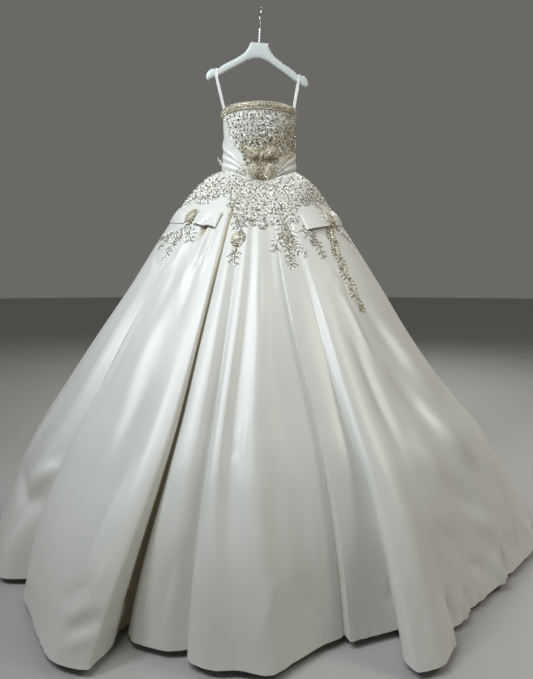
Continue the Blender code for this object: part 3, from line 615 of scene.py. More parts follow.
def beaded_net():
    """The net ground under the thickest beadwork, closely sewn over with tiny beads."""
    material, tree, shader = new_material("beaded_net", {"Metallic": 0.45, "Roughness": 0.42})
    where = add_node(tree, "ShaderNodeTexCoord").outputs["Object"]
    # Seed beads of 2 mm
    cells = add_node(tree, "ShaderNodeTexVoronoi", {"Scale": 500.0}, [("Vector", where)])
    colour = ramp(tree, cells.outputs["Color"], [(0.0, "#8A8472"), (0.5, "#BDB7A4"), (1.0, "#E6E2D6")])
    tree.links.new(colour, shader.inputs["Base Color"])
    bump = add_node(
        tree,
        "ShaderNodeBump",
        {"Strength": 0.6, "Distance": 0.0008, "invert": True},
        [("Height", cells.outputs["Distance"])],
    )
    tree.links.new(bump.outputs["Normal"], shader.inputs["Normal"])
    return material


def satin_ribbon():
    """Narrow woven satin ribbon, smooth and a little glossier than the dress."""
    material, tree, shader = new_material(
        "woven_satin_ribbon", {"Roughness": 0.34, "Sheen Weight": 0.2, "Specular IOR Level": 0.7}
    )
    where = add_node(tree, "ShaderNodeTexCoord").outputs["Object"]
    # Ribs across the ribbon, drawn at 0.8 mm
    ribs = add_node(
        tree,
        "ShaderNodeTexWave",
        {"Scale": 200.0, "bands_direction": "Z", "Distortion": 0.4},
        [("Vector", where)],
    )
    colour = ramp(tree, ribs.outputs["Fac"], [(0.0, "#D9DAD5"), (1.0, "#E4E5E1")])
    tree.links.new(colour, shader.inputs["Base Color"])
    bump = add_node(
        tree,
        "ShaderNodeBump",
        {"Strength": 0.25, "Distance": 0.0002},
        [("Height", ribs.outputs["Fac"])],
    )
    tree.links.new(bump.outputs["Normal"], shader.inputs["Normal"])
    return material


def moulded_hanger():
    """Injection-moulded off-white ABS with a satin gloss and a faint orange-peel skin."""
    material, tree, shader = new_material(
        "moulded_off_white_ABS", {"Roughness": 0.36, "Coat Weight": 0.25, "Coat Roughness": 0.15}
    )
    where = add_node(tree, "ShaderNodeTexCoord").outputs["Object"]
    # Skin of the mould, pitted at 1.5 mm
    skin = add_node(tree, "ShaderNodeTexNoise", {"Scale": 660.0, "Detail": 2.0}, [("Vector", where)])
    colour = ramp(tree, skin.outputs["Fac"], [(0.35, "#BFC4C1"), (0.65, "#C3C8C5")])
    tree.links.new(colour, shader.inputs["Base Color"])
    bump = add_node(
        tree,
        "ShaderNodeBump",
        {"Strength": 0.02, "Distance": 0.00002},
        [("Height", skin.outputs["Fac"])],
    )
    tree.links.new(bump.outputs["Normal"], shader.inputs["Normal"])
    return material


def drawn_steel():
    """Cold-drawn, nickel-plated steel wire: bright, with fine lines from the die."""
    material, tree, shader = new_material("drawn_steel_wire", {"Metallic": 1.0})
    where = add_node(tree, "ShaderNodeTexCoord").outputs["Object"]
    # Die lines about 0.3 mm apart
    lines = add_node(tree, "ShaderNodeTexNoise", {"Scale": 3000.0, "Detail": 1.0}, [("Vector", where)])
    colour = ramp(tree, lines.outputs["Fac"], [(0.3, "#A5A5A6"), (0.7, "#C4C4C4")])
    tree.links.new(colour, shader.inputs["Base Color"])
    rough = add_node(
        tree,
        "ShaderNodeMapRange",
        {"To Min": 0.24, "To Max": 0.4},
        [("Value", lines.outputs["Fac"])],
    )
    tree.links.new(rough.outputs["Result"], shader.inputs["Roughness"])
    return material


def pale_floor():
    """Matt pale studio floor."""
    material, _, shader = new_material("painted_studio_floor", {"Roughness": 0.8})
    shader.inputs["Base Color"].default_value = hex_linear("#B4B2AE")
    return material


def add_piece(name, points, faces, material, sharp=None, values=None, closed=True):
    """A mesh object from points and arrays of three- or four-cornered faces."""
    mesh = bpy.data.meshes.new(name)
    faces = faced_out(np.asarray(points, float), faces) if closed else faces
    corners = np.concatenate([f.ravel() for f in faces]).astype(np.int32)
    sizes = np.concatenate([np.full(len(f), f.shape[1]) for f in faces])
    starts = np.concatenate([[0], np.cumsum(sizes)[:-1]]).astype(np.int32)
    mesh.vertices.add(len(points))
    mesh.vertices.foreach_set("co", np.asarray(points, np.float32).ravel())
    mesh.loops.add(len(corners))
    mesh.loops.foreach_set("vertex_index", corners)
    mesh.polygons.add(len(sizes))
    mesh.polygons.foreach_set("loop_start", starts)
    mesh.update(calc_edges=True)
    mesh.polygons.foreach_set("use_smooth", np.ones(len(sizes), bool))
    if sharp is not None:
        mesh.set_sharp_from_angle(angle=np.radians(sharp))
    for label, value in (values or {}).items():
        attribute = mesh.attributes.new(label, "FLOAT", "POINT")
        attribute.data.foreach_set("value", np.asarray(value, np.float32))
    mesh.materials.append(material)
    made = bpy.data.objects.new(name, mesh)
    bpy.context.scene.collection.objects.link(made)
    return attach(made, "root")


def grid_quads(number):
    """Faces of a grid of point numbers, turned so that the first axis left to right and the
    second top to bottom face the viewer."""
    return np.stack(
        [number[:-1, :-1], number[:-1, 1:], number[1:, 1:], number[1:, :-1]], axis=-1
    ).reshape(-1, 4)


def shell(name, outer, inner, material, ring=False, value=None):
    """A closed thin wall between two grids: faces out, backs in and rims round the edges."""
    columns, rows = outer.shape[:2]
    if ring:
        outer, inner = outer[:-1], inner[:-1]
        columns -= 1
    number = np.arange(columns * rows).reshape(columns, rows)
    if ring:
        number = np.concatenate([number, number[:1]])
    behind = number + columns * rows
    top = np.stack([number[:, 0], behind[:, 0]])
    foot = np.stack([behind[:, -1], number[:, -1]])
    faces = [grid_quads(number), grid_quads(behind)[:, ::-1]]
    faces += [grid_quads(top.T), grid_quads(foot.T)]
    if not ring:
        faces += [
            grid_quads(np.stack([behind[0], number[0]])),
            grid_quads(np.stack([number[-1], behind[-1]])),
        ]
    points = np.concatenate([outer.reshape(-1, 3), inner.reshape(-1, 3)])
    values = None
    # A value per point is painted shade, stored for the satin's colour
    if value is not None:
        value = value[:-1] if ring else value
        values = {"painted_fold_shade": np.concatenate([value.ravel(), value.ravel()])}
    return add_piece(name, points, faces, material, SHARP_EDGE_ANGLE, values)


def lengths(grid, axis):
    """Lengths of a grid's lines along one axis."""
    return np.linalg.norm(np.diff(grid, axis=axis), axis=-1).sum(axis=axis)


def cut_from(grid):
    """Works out what shows of a piece's cut, as wide and as long as the longest lines of the
    grid that it was made from, and its area, and keeps none of it."""
    wide, long = (round(float(lengths(grid, axis).max()), 3) for axis in (0, 1))
    across, down = grid[1:, :-1] - grid[:-1, :-1], grid[:-1, 1:] - grid[:-1, :-1]
    area = float(np.linalg.norm(np.cross(across, down), axis=-1).sum())
    area = round(min(area, wide * long), 4)


def skirt_columns():
    """Angle and stand-off of every column at every row, and the first column of each line.
    Both follow smooth curves down the cloth and round the plan through the table's lines."""
    hem = np.radians([line.hem for line in SKIRT_LINES])
    radius = SKIRT_SECTIONS[-1].left + np.array([line.hem_out for line in SKIRT_LINES])
    plan = np.stack([radius * np.sin(hem), radius * np.cos(hem)], axis=1)
    along = way_along(plan)
    front = np.abs([line.hem for line in SKIRT_LINES]) < 90
    cells = [
        line.cells * (FRONT_FINENESS if ahead else BACK_FINENESS)
        for line, ahead in zip(SKIRT_LINES, front)
    ]
    stops = [
        np.linspace(along[k], along[k + 1], n, endpoint=False) for k, n in enumerate(cells[:-1])
    ]
    at = np.concatenate([*stops, along[-1:]])
    first = dict(zip([line.name for line in SKIRT_LINES], np.cumsum([0, *cells[:-1]])))
    drop = np.linspace(0, 1, SKIRT_ROWS) ** ROW_CROWDING
    drop = np.sort(np.concatenate([drop, HEM_ROWS]))
    angle = np.radians([[line.waist, line.hip, line.knee, line.hem] for line in SKIRT_LINES])
    out = np.array([[0.0, line.hip_out, line.knee_out, line.hem_out] for line in SKIRT_LINES])
    angle = pchip(along, pchip(LEVELS, angle.T, drop).T, at)
    out = pchip(along, pchip(LEVELS, out.T, drop).T, at)
    return angle, out, drop, first


Crease = namedtuple("Crease", "angle height length lean width depth power")
# Creases of the skirt: centre, length and lean from upright, half width and depth in metres
# (above zero stands out), and how sharp the profile is (2 soft, 1 crisp)
SKIRT_CREASES = (
    # left hip and left lobe
    (-57.0, 0.890, 0.125, -52, 0.009, -0.0045, 1.4),
    (-58.5, 0.872, 0.120, -50, 0.013, 0.0035, 1.7),
    (-47.4, 0.886, 0.095, 39, 0.009, -0.0042, 1.4),
    (-45.0, 0.876, 0.090, 36, 0.012, 0.0032, 1.7),
    (-30.0, 0.889, 0.070, -72, 0.008, -0.0026, 1.5),
    (-37.5, 0.925, 0.110, -20, 0.011, -0.0032, 1.6),
    (-35.2, 1.002, 0.095, 14, 0.0100, -0.0110, 2.0),
    (-39.2, 0.975, 0.100, 24, 0.0100, -0.0060, 1.8),
    (-31.4, 0.930, 0.230, 2, 0.0090, 0.0055, 2.0),
    (-28.7, 0.935, 0.240, 1, 0.0085, -0.0055, 2.0),
    (-26.0, 0.940, 0.260, 0, 0.0080, 0.0045, 2.0),
    (-43.0, 0.940, 0.160, 10, 0.0120, 0.0050, 2.0),
    (-34.0, 0.860, 0.200, -6, 0.014, 0.0040, 2.0),
    (-38.5, 0.800, 0.300, -5, 0.018, -0.0048, 2.0),
    (-28.5, 0.800, 0.260, -3, 0.013, -0.0036, 2.0),
    (-53.0, 0.640, 0.560, -4, 0.034, 0.0080, 2.0),
    (-44.5, 0.600, 0.540, -4, 0.028, -0.0070, 2.0),
    (-35.5, 0.640, 0.460, -3, 0.030, 0.0070, 2.0),
    (-30.0, 0.430, 0.380, 2, 0.030, -0.0060, 2.0),
    (-35.0, 0.280, 0.400, 6, 0.040, -0.0060, 2.0),
    (-25.6, 0.240, 0.420, 4, 0.016, 0.0060, 2.0),
    (-27.0, 0.118, 0.150, 52, 0.012, -0.0085, 1.7),
    (-24.4, 0.100, 0.130, 56, 0.009, 0.0065, 1.7),
    (-23.8, 0.074, 0.120, 62, 0.008, -0.0080, 1.6),
    (-23.6, 0.046, 0.110, 66, 0.008, 0.0065, 1.6),
    (-29.6, 0.046, 0.110, 14, 0.011, -0.0070, 1.5),
    (-23.0, 0.150, 0.130, 8, 0.011, 0.0050, 1.8),
    (-23.3, 0.112, 0.070, 14, 0.006, -0.0018, 1.6),
    (-21.5, 0.085, 0.060, -18, 0.006, -0.0016, 1.6),
    (-40.5, 0.060, 0.100, 30, 0.016, 0.0040, 2.0),
    # left edge
    (-57.5, 0.212, 0.330, 96, 0.026, -0.0200, 1.7),
    (-50.5, 0.275, 0.170, 70, 0.030, 0.0120, 2.0),
    (-52.5, 0.160, 0.220, 30, 0.030, -0.0120, 2.0),
    (-66.5, 0.330, 0.330, 10, 0.040, 0.0090, 2.0),
    (-73.0, 0.560, 0.400, -4, 0.030, -0.0070, 2.0),
    (-70.0, 0.120, 0.240, 18, 0.028, -0.0080, 2.0),
    (-63.5, 0.055, 0.140, 34, 0.020, 0.0060, 2.0),
    # centre
    (-5.2, 0.405, 0.060, 24, 0.009, -0.0018, 1.7),
    (-3.0, 0.440, 0.180, 4, 0.012, 0.0020, 2.0),
    (-10.0, 0.250, 0.260, -3, 0.014, -0.0035, 2.0),
    (3.0, 0.300, 0.320, -2, 0.020, -0.0040, 2.0),
    (6.5, 0.620, 0.360, 2, 0.016, 0.0030, 2.0),
    (9.5, 0.250, 0.300, -4, 0.018, 0.0035, 2.0),
    (-14.0, 0.140, 0.200, 8, 0.016, -0.0040, 2.0),
    (1.0, 0.110, 0.160, 18, 0.014, 0.0030, 1.8),
    (8.0, 0.090, 0.140, -22, 0.016, -0.0040, 1.8),
    (0.5, 0.800, 0.260, 0, 0.009, -0.0020, 2.0),
    (6.0, 0.860, 0.220, 1, 0.008, -0.0018, 2.0),
    # right lobe and hollow
    (39.6, 0.846, 0.060, -33, 0.008, -0.0030, 1.5),
    (40.0, 0.800, 0.095, 15, 0.009, -0.0034, 1.5),
    (36.0, 0.700, 0.300, -3, 0.014, 0.0042, 2.0),
    (48.0, 0.660, 0.340, -10, 0.034, -0.0062, 2.0),
    (56.0, 0.560, 0.360, -12, 0.045, 0.0095, 2.0),
    (44.5, 0.470, 0.300, -18, 0.038, -0.0095, 2.0),
    (51.0, 0.380, 0.260, -26, 0.038, 0.0095, 2.0),
    (39.0, 0.330, 0.240, -24, 0.034, 0.0074, 2.0),
    (44.0, 0.240, 0.240, -36, 0.034, -0.0095, 2.0),
    (55.0, 0.250, 0.240, -30, 0.034, -0.0084, 2.0),
    (35.0, 0.170, 0.180, -44, 0.025, -0.0063, 1.8),
    (49.0, 0.140, 0.200, -44, 0.029, 0.0084, 2.0),
    (42.0, 0.070, 0.130, -56, 0.016, -0.0074, 1.8),
    (55.0, 0.060, 0.150, -46, 0.022, -0.0074, 1.8),
    (22.0, 0.077, 0.060, 38, 0.0036, -0.0032, 1.3),
    (22.9, 0.062, 0.050, 84, 0.0032, -0.0026, 1.3),
    (31.0, 0.520, 0.420, 2, 0.020, -0.0061, 2.0),
    (27.4, 0.030, 0.150, 4, 0.012, 0.0160, 1.8),
    (30.6, 0.030, 0.140, -6, 0.010, -0.0150, 1.7),
    (33.8, 0.020, 0.110, -10, 0.009, 0.0100, 1.8),
    (36.6, 0.020, 0.100, -14, 0.008, -0.0095, 1.7),
    (40.5, 0.020, 0.100, -8, 0.009, 0.0105, 1.8),
    (47.6, 0.024, 0.130, -4, 0.012, 0.0160, 1.8),
    (51.6, 0.030, 0.130, 6, 0.010, -0.0160, 1.7),
    (59.0, 0.050, 0.140, 10, 0.012, -0.0120, 1.8),
    # right edge
    (72.0, 0.330, 0.190, 8, 0.020, 0.0080, 2.0),
    (67.0, 0.420, 0.300, -8, 0.026, -0.0080, 2.0),
    (70.0, 0.130, 0.230, 20, 0.026, -0.0110, 2.0),
    (76.0, 0.060, 0.170, 12, 0.022, 0.0090, 2.0),
    (64.0, 0.060, 0.150, -20, 0.022, 0.0080, 2.0),
    (80.0, 0.640, 0.360, 3, 0.026, -0.0060, 2.0),
    # back, of the same kinds
    (98.0, 0.420, 0.420, -4, 0.034, -0.0080, 2.0),
    (101.0, 0.130, 0.220, 18, 0.026, 0.0080, 2.0),
    (112.0, 0.560, 0.420, 3, 0.030, 0.0070, 2.0),
    (116.0, 0.240, 0.260, -22, 0.030, -0.0080, 2.0),
    (128.0, 0.700, 0.300, -3, 0.018, -0.0050, 2.0),
    (133.0, 0.360, 0.360, 8, 0.034, 0.0080, 2.0),
    (141.0, 0.120, 0.180, 30, 0.022, -0.0065, 1.8),
    (147.0, 0.540, 0.380, -4, 0.026, 0.0060, 2.0),
    (158.0, 0.260, 0.300, 10, 0.028, -0.0080, 2.0),
    (163.0, 0.820, 0.240, 0, 0.012, -0.0036, 2.0),
    (172.0, 0.440, 0.340, -5, 0.026, 0.0070, 2.0),
    (-98.0, 0.400, 0.400, 5, 0.034, -0.0085, 2.0),
    (-104.0, 0.120, 0.220, -20, 0.024, 0.0080, 2.0),
    (-114.0, 0.600, 0.400, -3, 0.030, 0.0070, 2.0),
    (-119.0, 0.260, 0.260, 20, 0.028, -0.0080, 2.0),
    (-130.0, 0.760, 0.260, 2, 0.016, -0.0045, 2.0),
    (-136.0, 0.380, 0.360, -9, 0.034, 0.0080, 2.0),
    (-144.0, 0.130, 0.190, -32, 0.022, -0.0065, 1.8),
    (-150.0, 0.520, 0.360, 4, 0.026, 0.0060, 2.0),
    (-160.0, 0.240, 0.300, -12, 0.028, -0.0080, 2.0),
    (-167.0, 0.800, 0.240, 1, 0.012, -0.0034, 2.0),
    (-174.0, 0.420, 0.320, 6, 0.026, 0.0065, 2.0),
)
# Painted warm shade in the tucks under the left hip bow: a crease whose depth is how strongly the
# shade is painted
TUCK_SHADES = (
    (-35.0, 1.006, 0.090, 14, 0.0120, 1.50, 2.5),
    (-34.2, 0.978, 0.080, 12, 0.0050, 0.80, 2.0),
)
# The hem's line of stitches, how deep and wide it sinks, and the puckers below it
HEM_DEPTH = 0.030
HEM_STITCH_DEPTH = 0.0007
HEM_STITCH_WIDTH = 0.006
HEM_PUCKER = 0.0011
HEM_PUCKER_PITCH = 0.027
HEM_PUCKER_HEIGHT = 0.022
# Share of the way down over which the creases come in below the waist
CREASE_START = 0.03


def crease_relief(angle, height, radius, slope, creases):
    """Sum of the creases' reliefs: depth times exp(-|across/width|^power) times a taper
    (1 - (2 along/length)^2)^1.5 on the cloth's own distances."""
    relief = 0 * angle
    for c in map(Crease._make, creases):
        across = (np.degrees(angle) - c.angle + 180) % 360 - 180
        across = np.radians(across) * radius
        up = (height - c.height) * slope
        lean = np.radians(c.lean)
        along = up * np.cos(lean) + across * np.sin(lean)
        aside = across * np.cos(lean) - up * np.sin(lean)
        taper = np.maximum(1 - (2 * along / c.length) ** 2, 0) ** 1.5
        relief = relief + c.depth * np.exp(-np.abs(aside / c.width) ** c.power) * taper
    return relief


Pleat = namedtuple("Pleat", "start stop shade opens")
# Lines between which a pleat is folded deep, how strongly its inside is painted with warm shade, and
# from where down
PLEATS = (
    Pleat("left pleat edge", "left pleat return", 1.0, 0.0),
    Pleat("back lap side", "left lobe tuck", 0.4, 0.45),
    Pleat("right pleat lip", "right pleat edge", 0.15, 0.2),
)


def skirt_grid():
    """Outer surface of the whole skirt: cone radius plus folds, then creases along normals."""
    angle, out, drop, first = skirt_columns()
    table = np.array([[s.left, s.right] for s in SKIRT_SECTIONS])
    left, right = pchip([s.drop for s in SKIRT_SECTIONS], table, drop).T
    cone = (left + right) / 2 + (right - left) / 2 * np.sin(angle)
    waist = girth_radius(angle, WAIST_HALF_WIDTH, WAIST_FRONT_DEPTH, WAIST_BACK_DEPTH)
    opened = (left - left[0]) / (left[-1] - left[0])
    radius = cone + (waist - WAIST_HALF_WIDTH) * (1 - opened) ** 2 + out
    height = waist_height(angle[:, :1]) * (1 - drop)
    grid = place(radius, angle, height)
    normals = outward(grid)
    slope = np.sqrt(1 + (np.gradient(radius, axis=1) / np.gradient(height, axis=1)) ** 2)
    relief = crease_relief(angle, height, radius, slope, SKIRT_CREASES)
    relief *= np.clip(drop / CREASE_START, 0, 1)
    relief -= HEM_STITCH_DEPTH * np.exp(-(((height - HEM_DEPTH) / HEM_STITCH_WIDTH) ** 2))
    way = angle * radius / HEM_PUCKER_PITCH
    wave = np.sin(2 * np.pi * way + 1.7 * np.sin(0.37 * way)) * (0.6 + 0.4 * np.sin(0.9 * way))
    relief += HEM_PUCKER * wave * np.exp(-((height / HEM_PUCKER_HEIGHT) ** 2))
    # Painted warm shade in the tucks under the left hip bow, laid out like creases
    shade = crease_relief(angle, height, radius, slope, TUCK_SHADES)
    return grid + normals * relief[..., None], first, drop, shade


def cut_panel(grid, facing, start, stop, thickness):
    """Outer and inner grid of one cut piece, its edges half a seam gap short of the seams."""
    outer = grid[start : stop + 1].copy()
    normals = facing[start : stop + 1].copy()
    normals[:, (0, -1), 2] = 0
    normals = unit(normals)
    outer[0] += unit((outer[1] - outer[0]) * (1, 1, 0)) * SEAM_GAP / 2
    outer[-1] -= unit((outer[-1] - outer[-2]) * (1, 1, 0)) * SEAM_GAP / 2
    return outer, outer - normals * thickness


def build_skirt(satin):
    """The five skirt panels, as thin shells cut from one surface."""
    grid, first, drop, depth = skirt_grid()
    facing = outward(grid)
    columns = np.arange(len(grid))
    # Painted warm shade, added to the tucks' painted shade, strongest in the middle of each pleat's
    # inside
    for pleat in PLEATS:
        low, high = first[pleat.start], first[pleat.stop]
        across = np.clip((columns - low) / (high - low), 0, 1)
        opened = np.clip((drop - pleat.opens) / 0.1, 0, 1)
        depth += pleat.shade * np.sin(np.pi * across)[:, None] ** 2.5 * opened
    for panel in SKIRT_PANELS:
        start, stop = first[panel.start], first[panel.stop]
        outer, inner = cut_panel(grid, facing, start, stop, SATIN_THICKNESS)
        value = depth[start : stop + 1]
        made = shell(f"satin_{panel.node}", outer, inner, satin, value=value)
        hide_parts(panel.node)
        cut_from(outer)
    return grid, drop


def bodice_grid():
    """Outer surface of the whole bodice, from the neckline down to the waist seam."""
    angle = np.radians(np.linspace(-180, 180, BODICE_COLUMNS + 1))[:, None]
    rise = np.linspace(1, 0, BODICE_ROWS)
    table = np.array([[g.half_width, g.front, g.back] for g in BODICE_GIRTHS])
    half_width, front, back = pchip([g.rise for g in BODICE_GIRTHS], table, rise).T
    radius = girth_radius(angle, half_width, front, back)
    foot = waist_height(angle) + SEAM_GAP
    height = foot + (NECKLINE_HEIGHT - foot) * rise
    return place(radius, angle, height)


def build_bodice(satin):
    """Front and two backs, which meet at the side seams and the centre back."""
    grid = bodice_grid()
    facing = outward(grid)
    quarter = BODICE_COLUMNS // 4
    cuts = (
        ("bodice_back_left", 0, quarter),
        ("bodice_front", quarter, 3 * quarter),
        ("bodice_back_right", 3 * quarter, 4 * quarter),
    )
    for node, start, stop in cuts:
        outer, inner = cut_panel(grid, facing, start, stop, BODICE_THICKNESS)
        made = shell(f"satin_{node}", outer, inner, satin)
        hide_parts(node)
        cut_from(outer)
    return grid


DressField = namedtuple("DressField", "step height radius way level reach")
# Degrees between the field's angles, the share of the skirt's way down that it covers, and how
# far from the front its mean profile is taken
FIELD_STEP = 0.5
FIELD_DROP = 0.62
PROFILE_HALF_ANGLE = 70


def dress_field(bodice, skirt, drop):
    """Heights and radii of the dress at even angles, row by row from the neckline down, and
    the way down the cloth of its mean front profile."""
    step = np.radians(FIELD_STEP)
    even = np.radians(np.arange(-180, 180 + FIELD_STEP / 2, FIELD_STEP))
    height, radius = [], []
    for grid in (bodice[:, :-1], skirt[:, drop < FIELD_DROP]):
        x, y = grid[..., 0] - DRESS_X, -grid[..., 1]
        angle = np.arctan2(x, y)
        angle[0] = -np.pi
        angle[-1] = np.pi
        for row in range(grid.shape[1]):
            order = np.argsort(angle[:, row], kind="stable")
            at = angle[order, row]
            height.append(np.interp(even, at, grid[order, row, 2] + HOOK_TO_HEM))
            radius.append(np.interp(even, at, np.hypot(x, y)[order, row]))
    height, radius = np.array(height), np.array(radius)
    front = np.abs(even) < np.radians(PROFILE_HALF_ANGLE)
    level, reach = height[:, front].mean(axis=1), radius[:, front].mean(axis=1)
    way = np.concatenate([[0], np.cumsum(np.hypot(np.diff(level), np.diff(reach)))])
    return DressField(step, height, radius, way, level, reach)


def on_dress(field, angle, height):
    """Points of the dress at angles and heights, linear between the field's rows."""
    spot = (np.ravel(angle) + np.pi) % (2 * np.pi) / field.step
    k = np.minimum(spot.astype(int), field.height.shape[1] - 2)
    t = spot - k
    wanted = np.ravel(height)
    level = field.height[:, k] * (1 - t) + field.height[:, k + 1] * t
    reach = field.radius[:, k] * (1 - t) + field.radius[:, k + 1] * t
    row = np.clip((level > wanted).sum(axis=0) - 1, 0, len(level) - 2)
    each = np.arange(len(row))
    share = (wanted - level[row, each]) / (level[row + 1, each] - level[row, each] - 1e-9)
    share = np.clip(share, -1, 1)
    radius = reach[row, each] * (1 - share) + reach[row + 1, each] * share
    return place(radius, np.ravel(angle), wanted).reshape(*np.shape(angle), 3)


def level_out(spots):
    """Level directions straight out from the dress's axis."""
    return unit((spots - (DRESS_X, 0, 0)) * (1, 1, 0))


def frames(surface, first, second, step=0.0015):
    """Points of a surface over angle and height with directions across, up and out."""
    spot = surface(first, second)
    radius = np.hypot(spot[..., 0] - DRESS_X, spot[..., 1])
    turn = step / radius
    across = unit(surface(first + turn, second) - surface(first - turn, second))
    up = surface(first, second + step) - surface(first, second - step)
    out = unit(np.cross(across, up))
    return spot, across, unit(np.cross(out, across)), out


def round_off(number):
    """Rounds of point numbers, each closed by a repeat of its first."""
    return np.concatenate([number, number[:, :1]], axis=1)


def loft(name, sections, material, sharp=SHARP_EDGE_ANGLE):
    """A closed solid through rounds of points, each end a fan round its own middle point."""
    count, sides = sections.shape[:2]
    number = round_off(np.arange(count * sides).reshape(count, sides))
    ends = np.stack([sections[0].mean(axis=0), sections[-1].mean(axis=0)])
    first, last = number[0], number[-1]
    pole = np.full(sides, count * sides)
    faces = [
        grid_quads(number),
        np.stack([first[1:], first[:-1], pole], axis=1)[:, ::-1],
        np.stack([last[:-1], last[1:], pole + 1], axis=1)[:, ::-1],
    ]
    points = np.concatenate([sections.reshape(-1, 3), ends])
    return add_piece(name, points, faces, material, sharp)


def band_arch(share):
    """Thickness of the band at shares of the way down it: the root of a half sine."""
    return BAND_THICKNESS * np.sin(np.pi * (0.06 + 0.88 * share)) ** 0.5


def build_band(field, net):
    """The neckline's band: an arch of net, standing off the top of the bodice."""
    angle = np.radians(np.linspace(-180, 180, BAND_COLUMNS + 1))[:, None]
    share = np.linspace(0, 1, BAND_ROWS)[None, :]
    base = on_dress(field, angle + 0 * share, NECKLINE_HEIGHT - BAND_HEIGHT * share + 0 * angle)
    facing = level_out(base)
    inner = base + facing * BAND_LIFT
    outer = inner + facing * band_arch(share)[..., None]
    made = shell("net_neckline_band", outer, inner, net, ring=True)
    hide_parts("neckline_band")
    cut_from(outer)


def drape_top(across):
    """Height of a drape's upper edge at shares of the way from its front end to the side."""
    return DRAPE_FRONT_TOP + (DRAPE_SIDE_TOP - DRAPE_FRONT_TOP) * across**DRAPE_SWEEP


def drape_pleats(across, down):
    """Height of the pleats from 0 to 1: even folds whose share of the way down wanders a little."""
    wander = down + 0.035 * np.sin(5.0 * across + 1.0) * np.sin(np.pi * down)
    return 0.5 - 0.5 * np.cos(2 * np.pi * DRAPE_PLEATS * wander)


def build_drape(field, drape, satin):
    """Pleated satin laid across the bodice from the side seam down to the centre front."""
    low, high = sorted((drape.front_end, drape.side * 90.0))
    angle = np.radians(np.linspace(low + 0.1, high - 0.1, DRAPE_COLUMNS))[:, None]
    across = (np.abs(np.degrees(angle)) - abs(drape.front_end)) / (90 - abs(drape.front_end))
    across = np.clip(across, 0, 1)
    top = drape_top(across)
    foot = waist_height(angle) + 2 * SEAM_GAP
    down = np.linspace(0, 1, DRAPE_ROWS)[None, :]
    height = top + (foot - top) * down
    base, _, _, facing = frames(partial(on_dress, field), angle + 0 * down, height)
    fold = drape_pleats(across, down)
    inner = base + facing * DRAPE_LIFT
    thickness = DRAPE_THICKNESS + DRAPE_PLEAT_HEIGHT * fold * (0.75 + 0.25 * np.sin(3 * across))
    outer = inner + facing * thickness[..., None]
    # Painted shade: light in the pleats' hollows, and on the right drape a diagonal band of painted
    # shadow near its upper edge
    shade = 0.22 * (1 - fold) ** 3
    if drape.side > 0:
        shade = shade + 0.9 * np.exp(-(((down - 0.05 - 0.22 * across) / 0.10) ** 2))
    made = shell(f"satin_{drape.node}", outer, inner, satin, value=np.clip(shade, 0, 1))
    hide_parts(drape.node)
    cut_from(outer)


def pad_surface(field, pad):
    """Surface of a padded lobe over its own along and up, domed over an oval on the dress."""
    lean, centre = np.radians([pad.turn, pad.angle])
    middle = on_dress(field, np.array([centre]), np.array([pad.height]))[0]
    radius = np.hypot(middle[0] - DRESS_X, middle[1])

    def surface(along, up, lift=None):
        """Points over the dress, as high as the dome or as a given lift."""
        across = along * np.cos(lean) - up * np.sin(lean)
        rise = along * np.sin(lean) + up * np.cos(lean)
        turn, height = centre + across / radius, pad.height + rise
        base, _, _, facing = frames(partial(on_dress, field), turn, height, PAD_FACING_STEP)
        edge = np.minimum(np.hypot(along / pad.half_width, up / pad.half_height), 1)
        dome = PAD_EDGE + (pad.thickness - PAD_EDGE) * np.sqrt(1 - PAD_FULLNESS * edge**2)
        return base + facing * (PAD_GAP + (dome if lift is None else lift))[..., None]

    return surface


def build_pad(field, pad, net):
    """A thick beaded lobe: rings of points from the middle of an oval out, flat below."""
    reach = np.linspace(0, 1, PAD_RINGS)[1:, None]
    turn = np.linspace(0, 2 * np.pi, PAD_SECTORS, endpoint=False)[None, :]
    along = np.concatenate([[0.0], (pad.half_width * reach * np.cos(turn)).ravel()])
    up = np.concatenate([[0.0], (pad.half_height * reach * np.sin(turn)).ravel()])
    surface = pad_surface(field, pad)
    over, under = surface(along, up), surface(along, up, 0 * along)
    count = len(over)
    number = round_off(1 + np.arange(count - 1).reshape(PAD_RINGS - 1, PAD_SECTORS))
    pole = np.zeros(PAD_SECTORS, int)
    fan = np.stack([pole, number[0, :-1], number[0, 1:]], axis=1)
    top = [fan, grid_quads(number)]
    faces = [*top, *[count + block[:, ::-1] for block in top]]
    faces.append(grid_quads(np.stack([number[-1], number[-1] + count])))
    made = add_piece(f"net_{pad.name}", np.concatenate([over, under]), faces, net)
    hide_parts(pad.name)


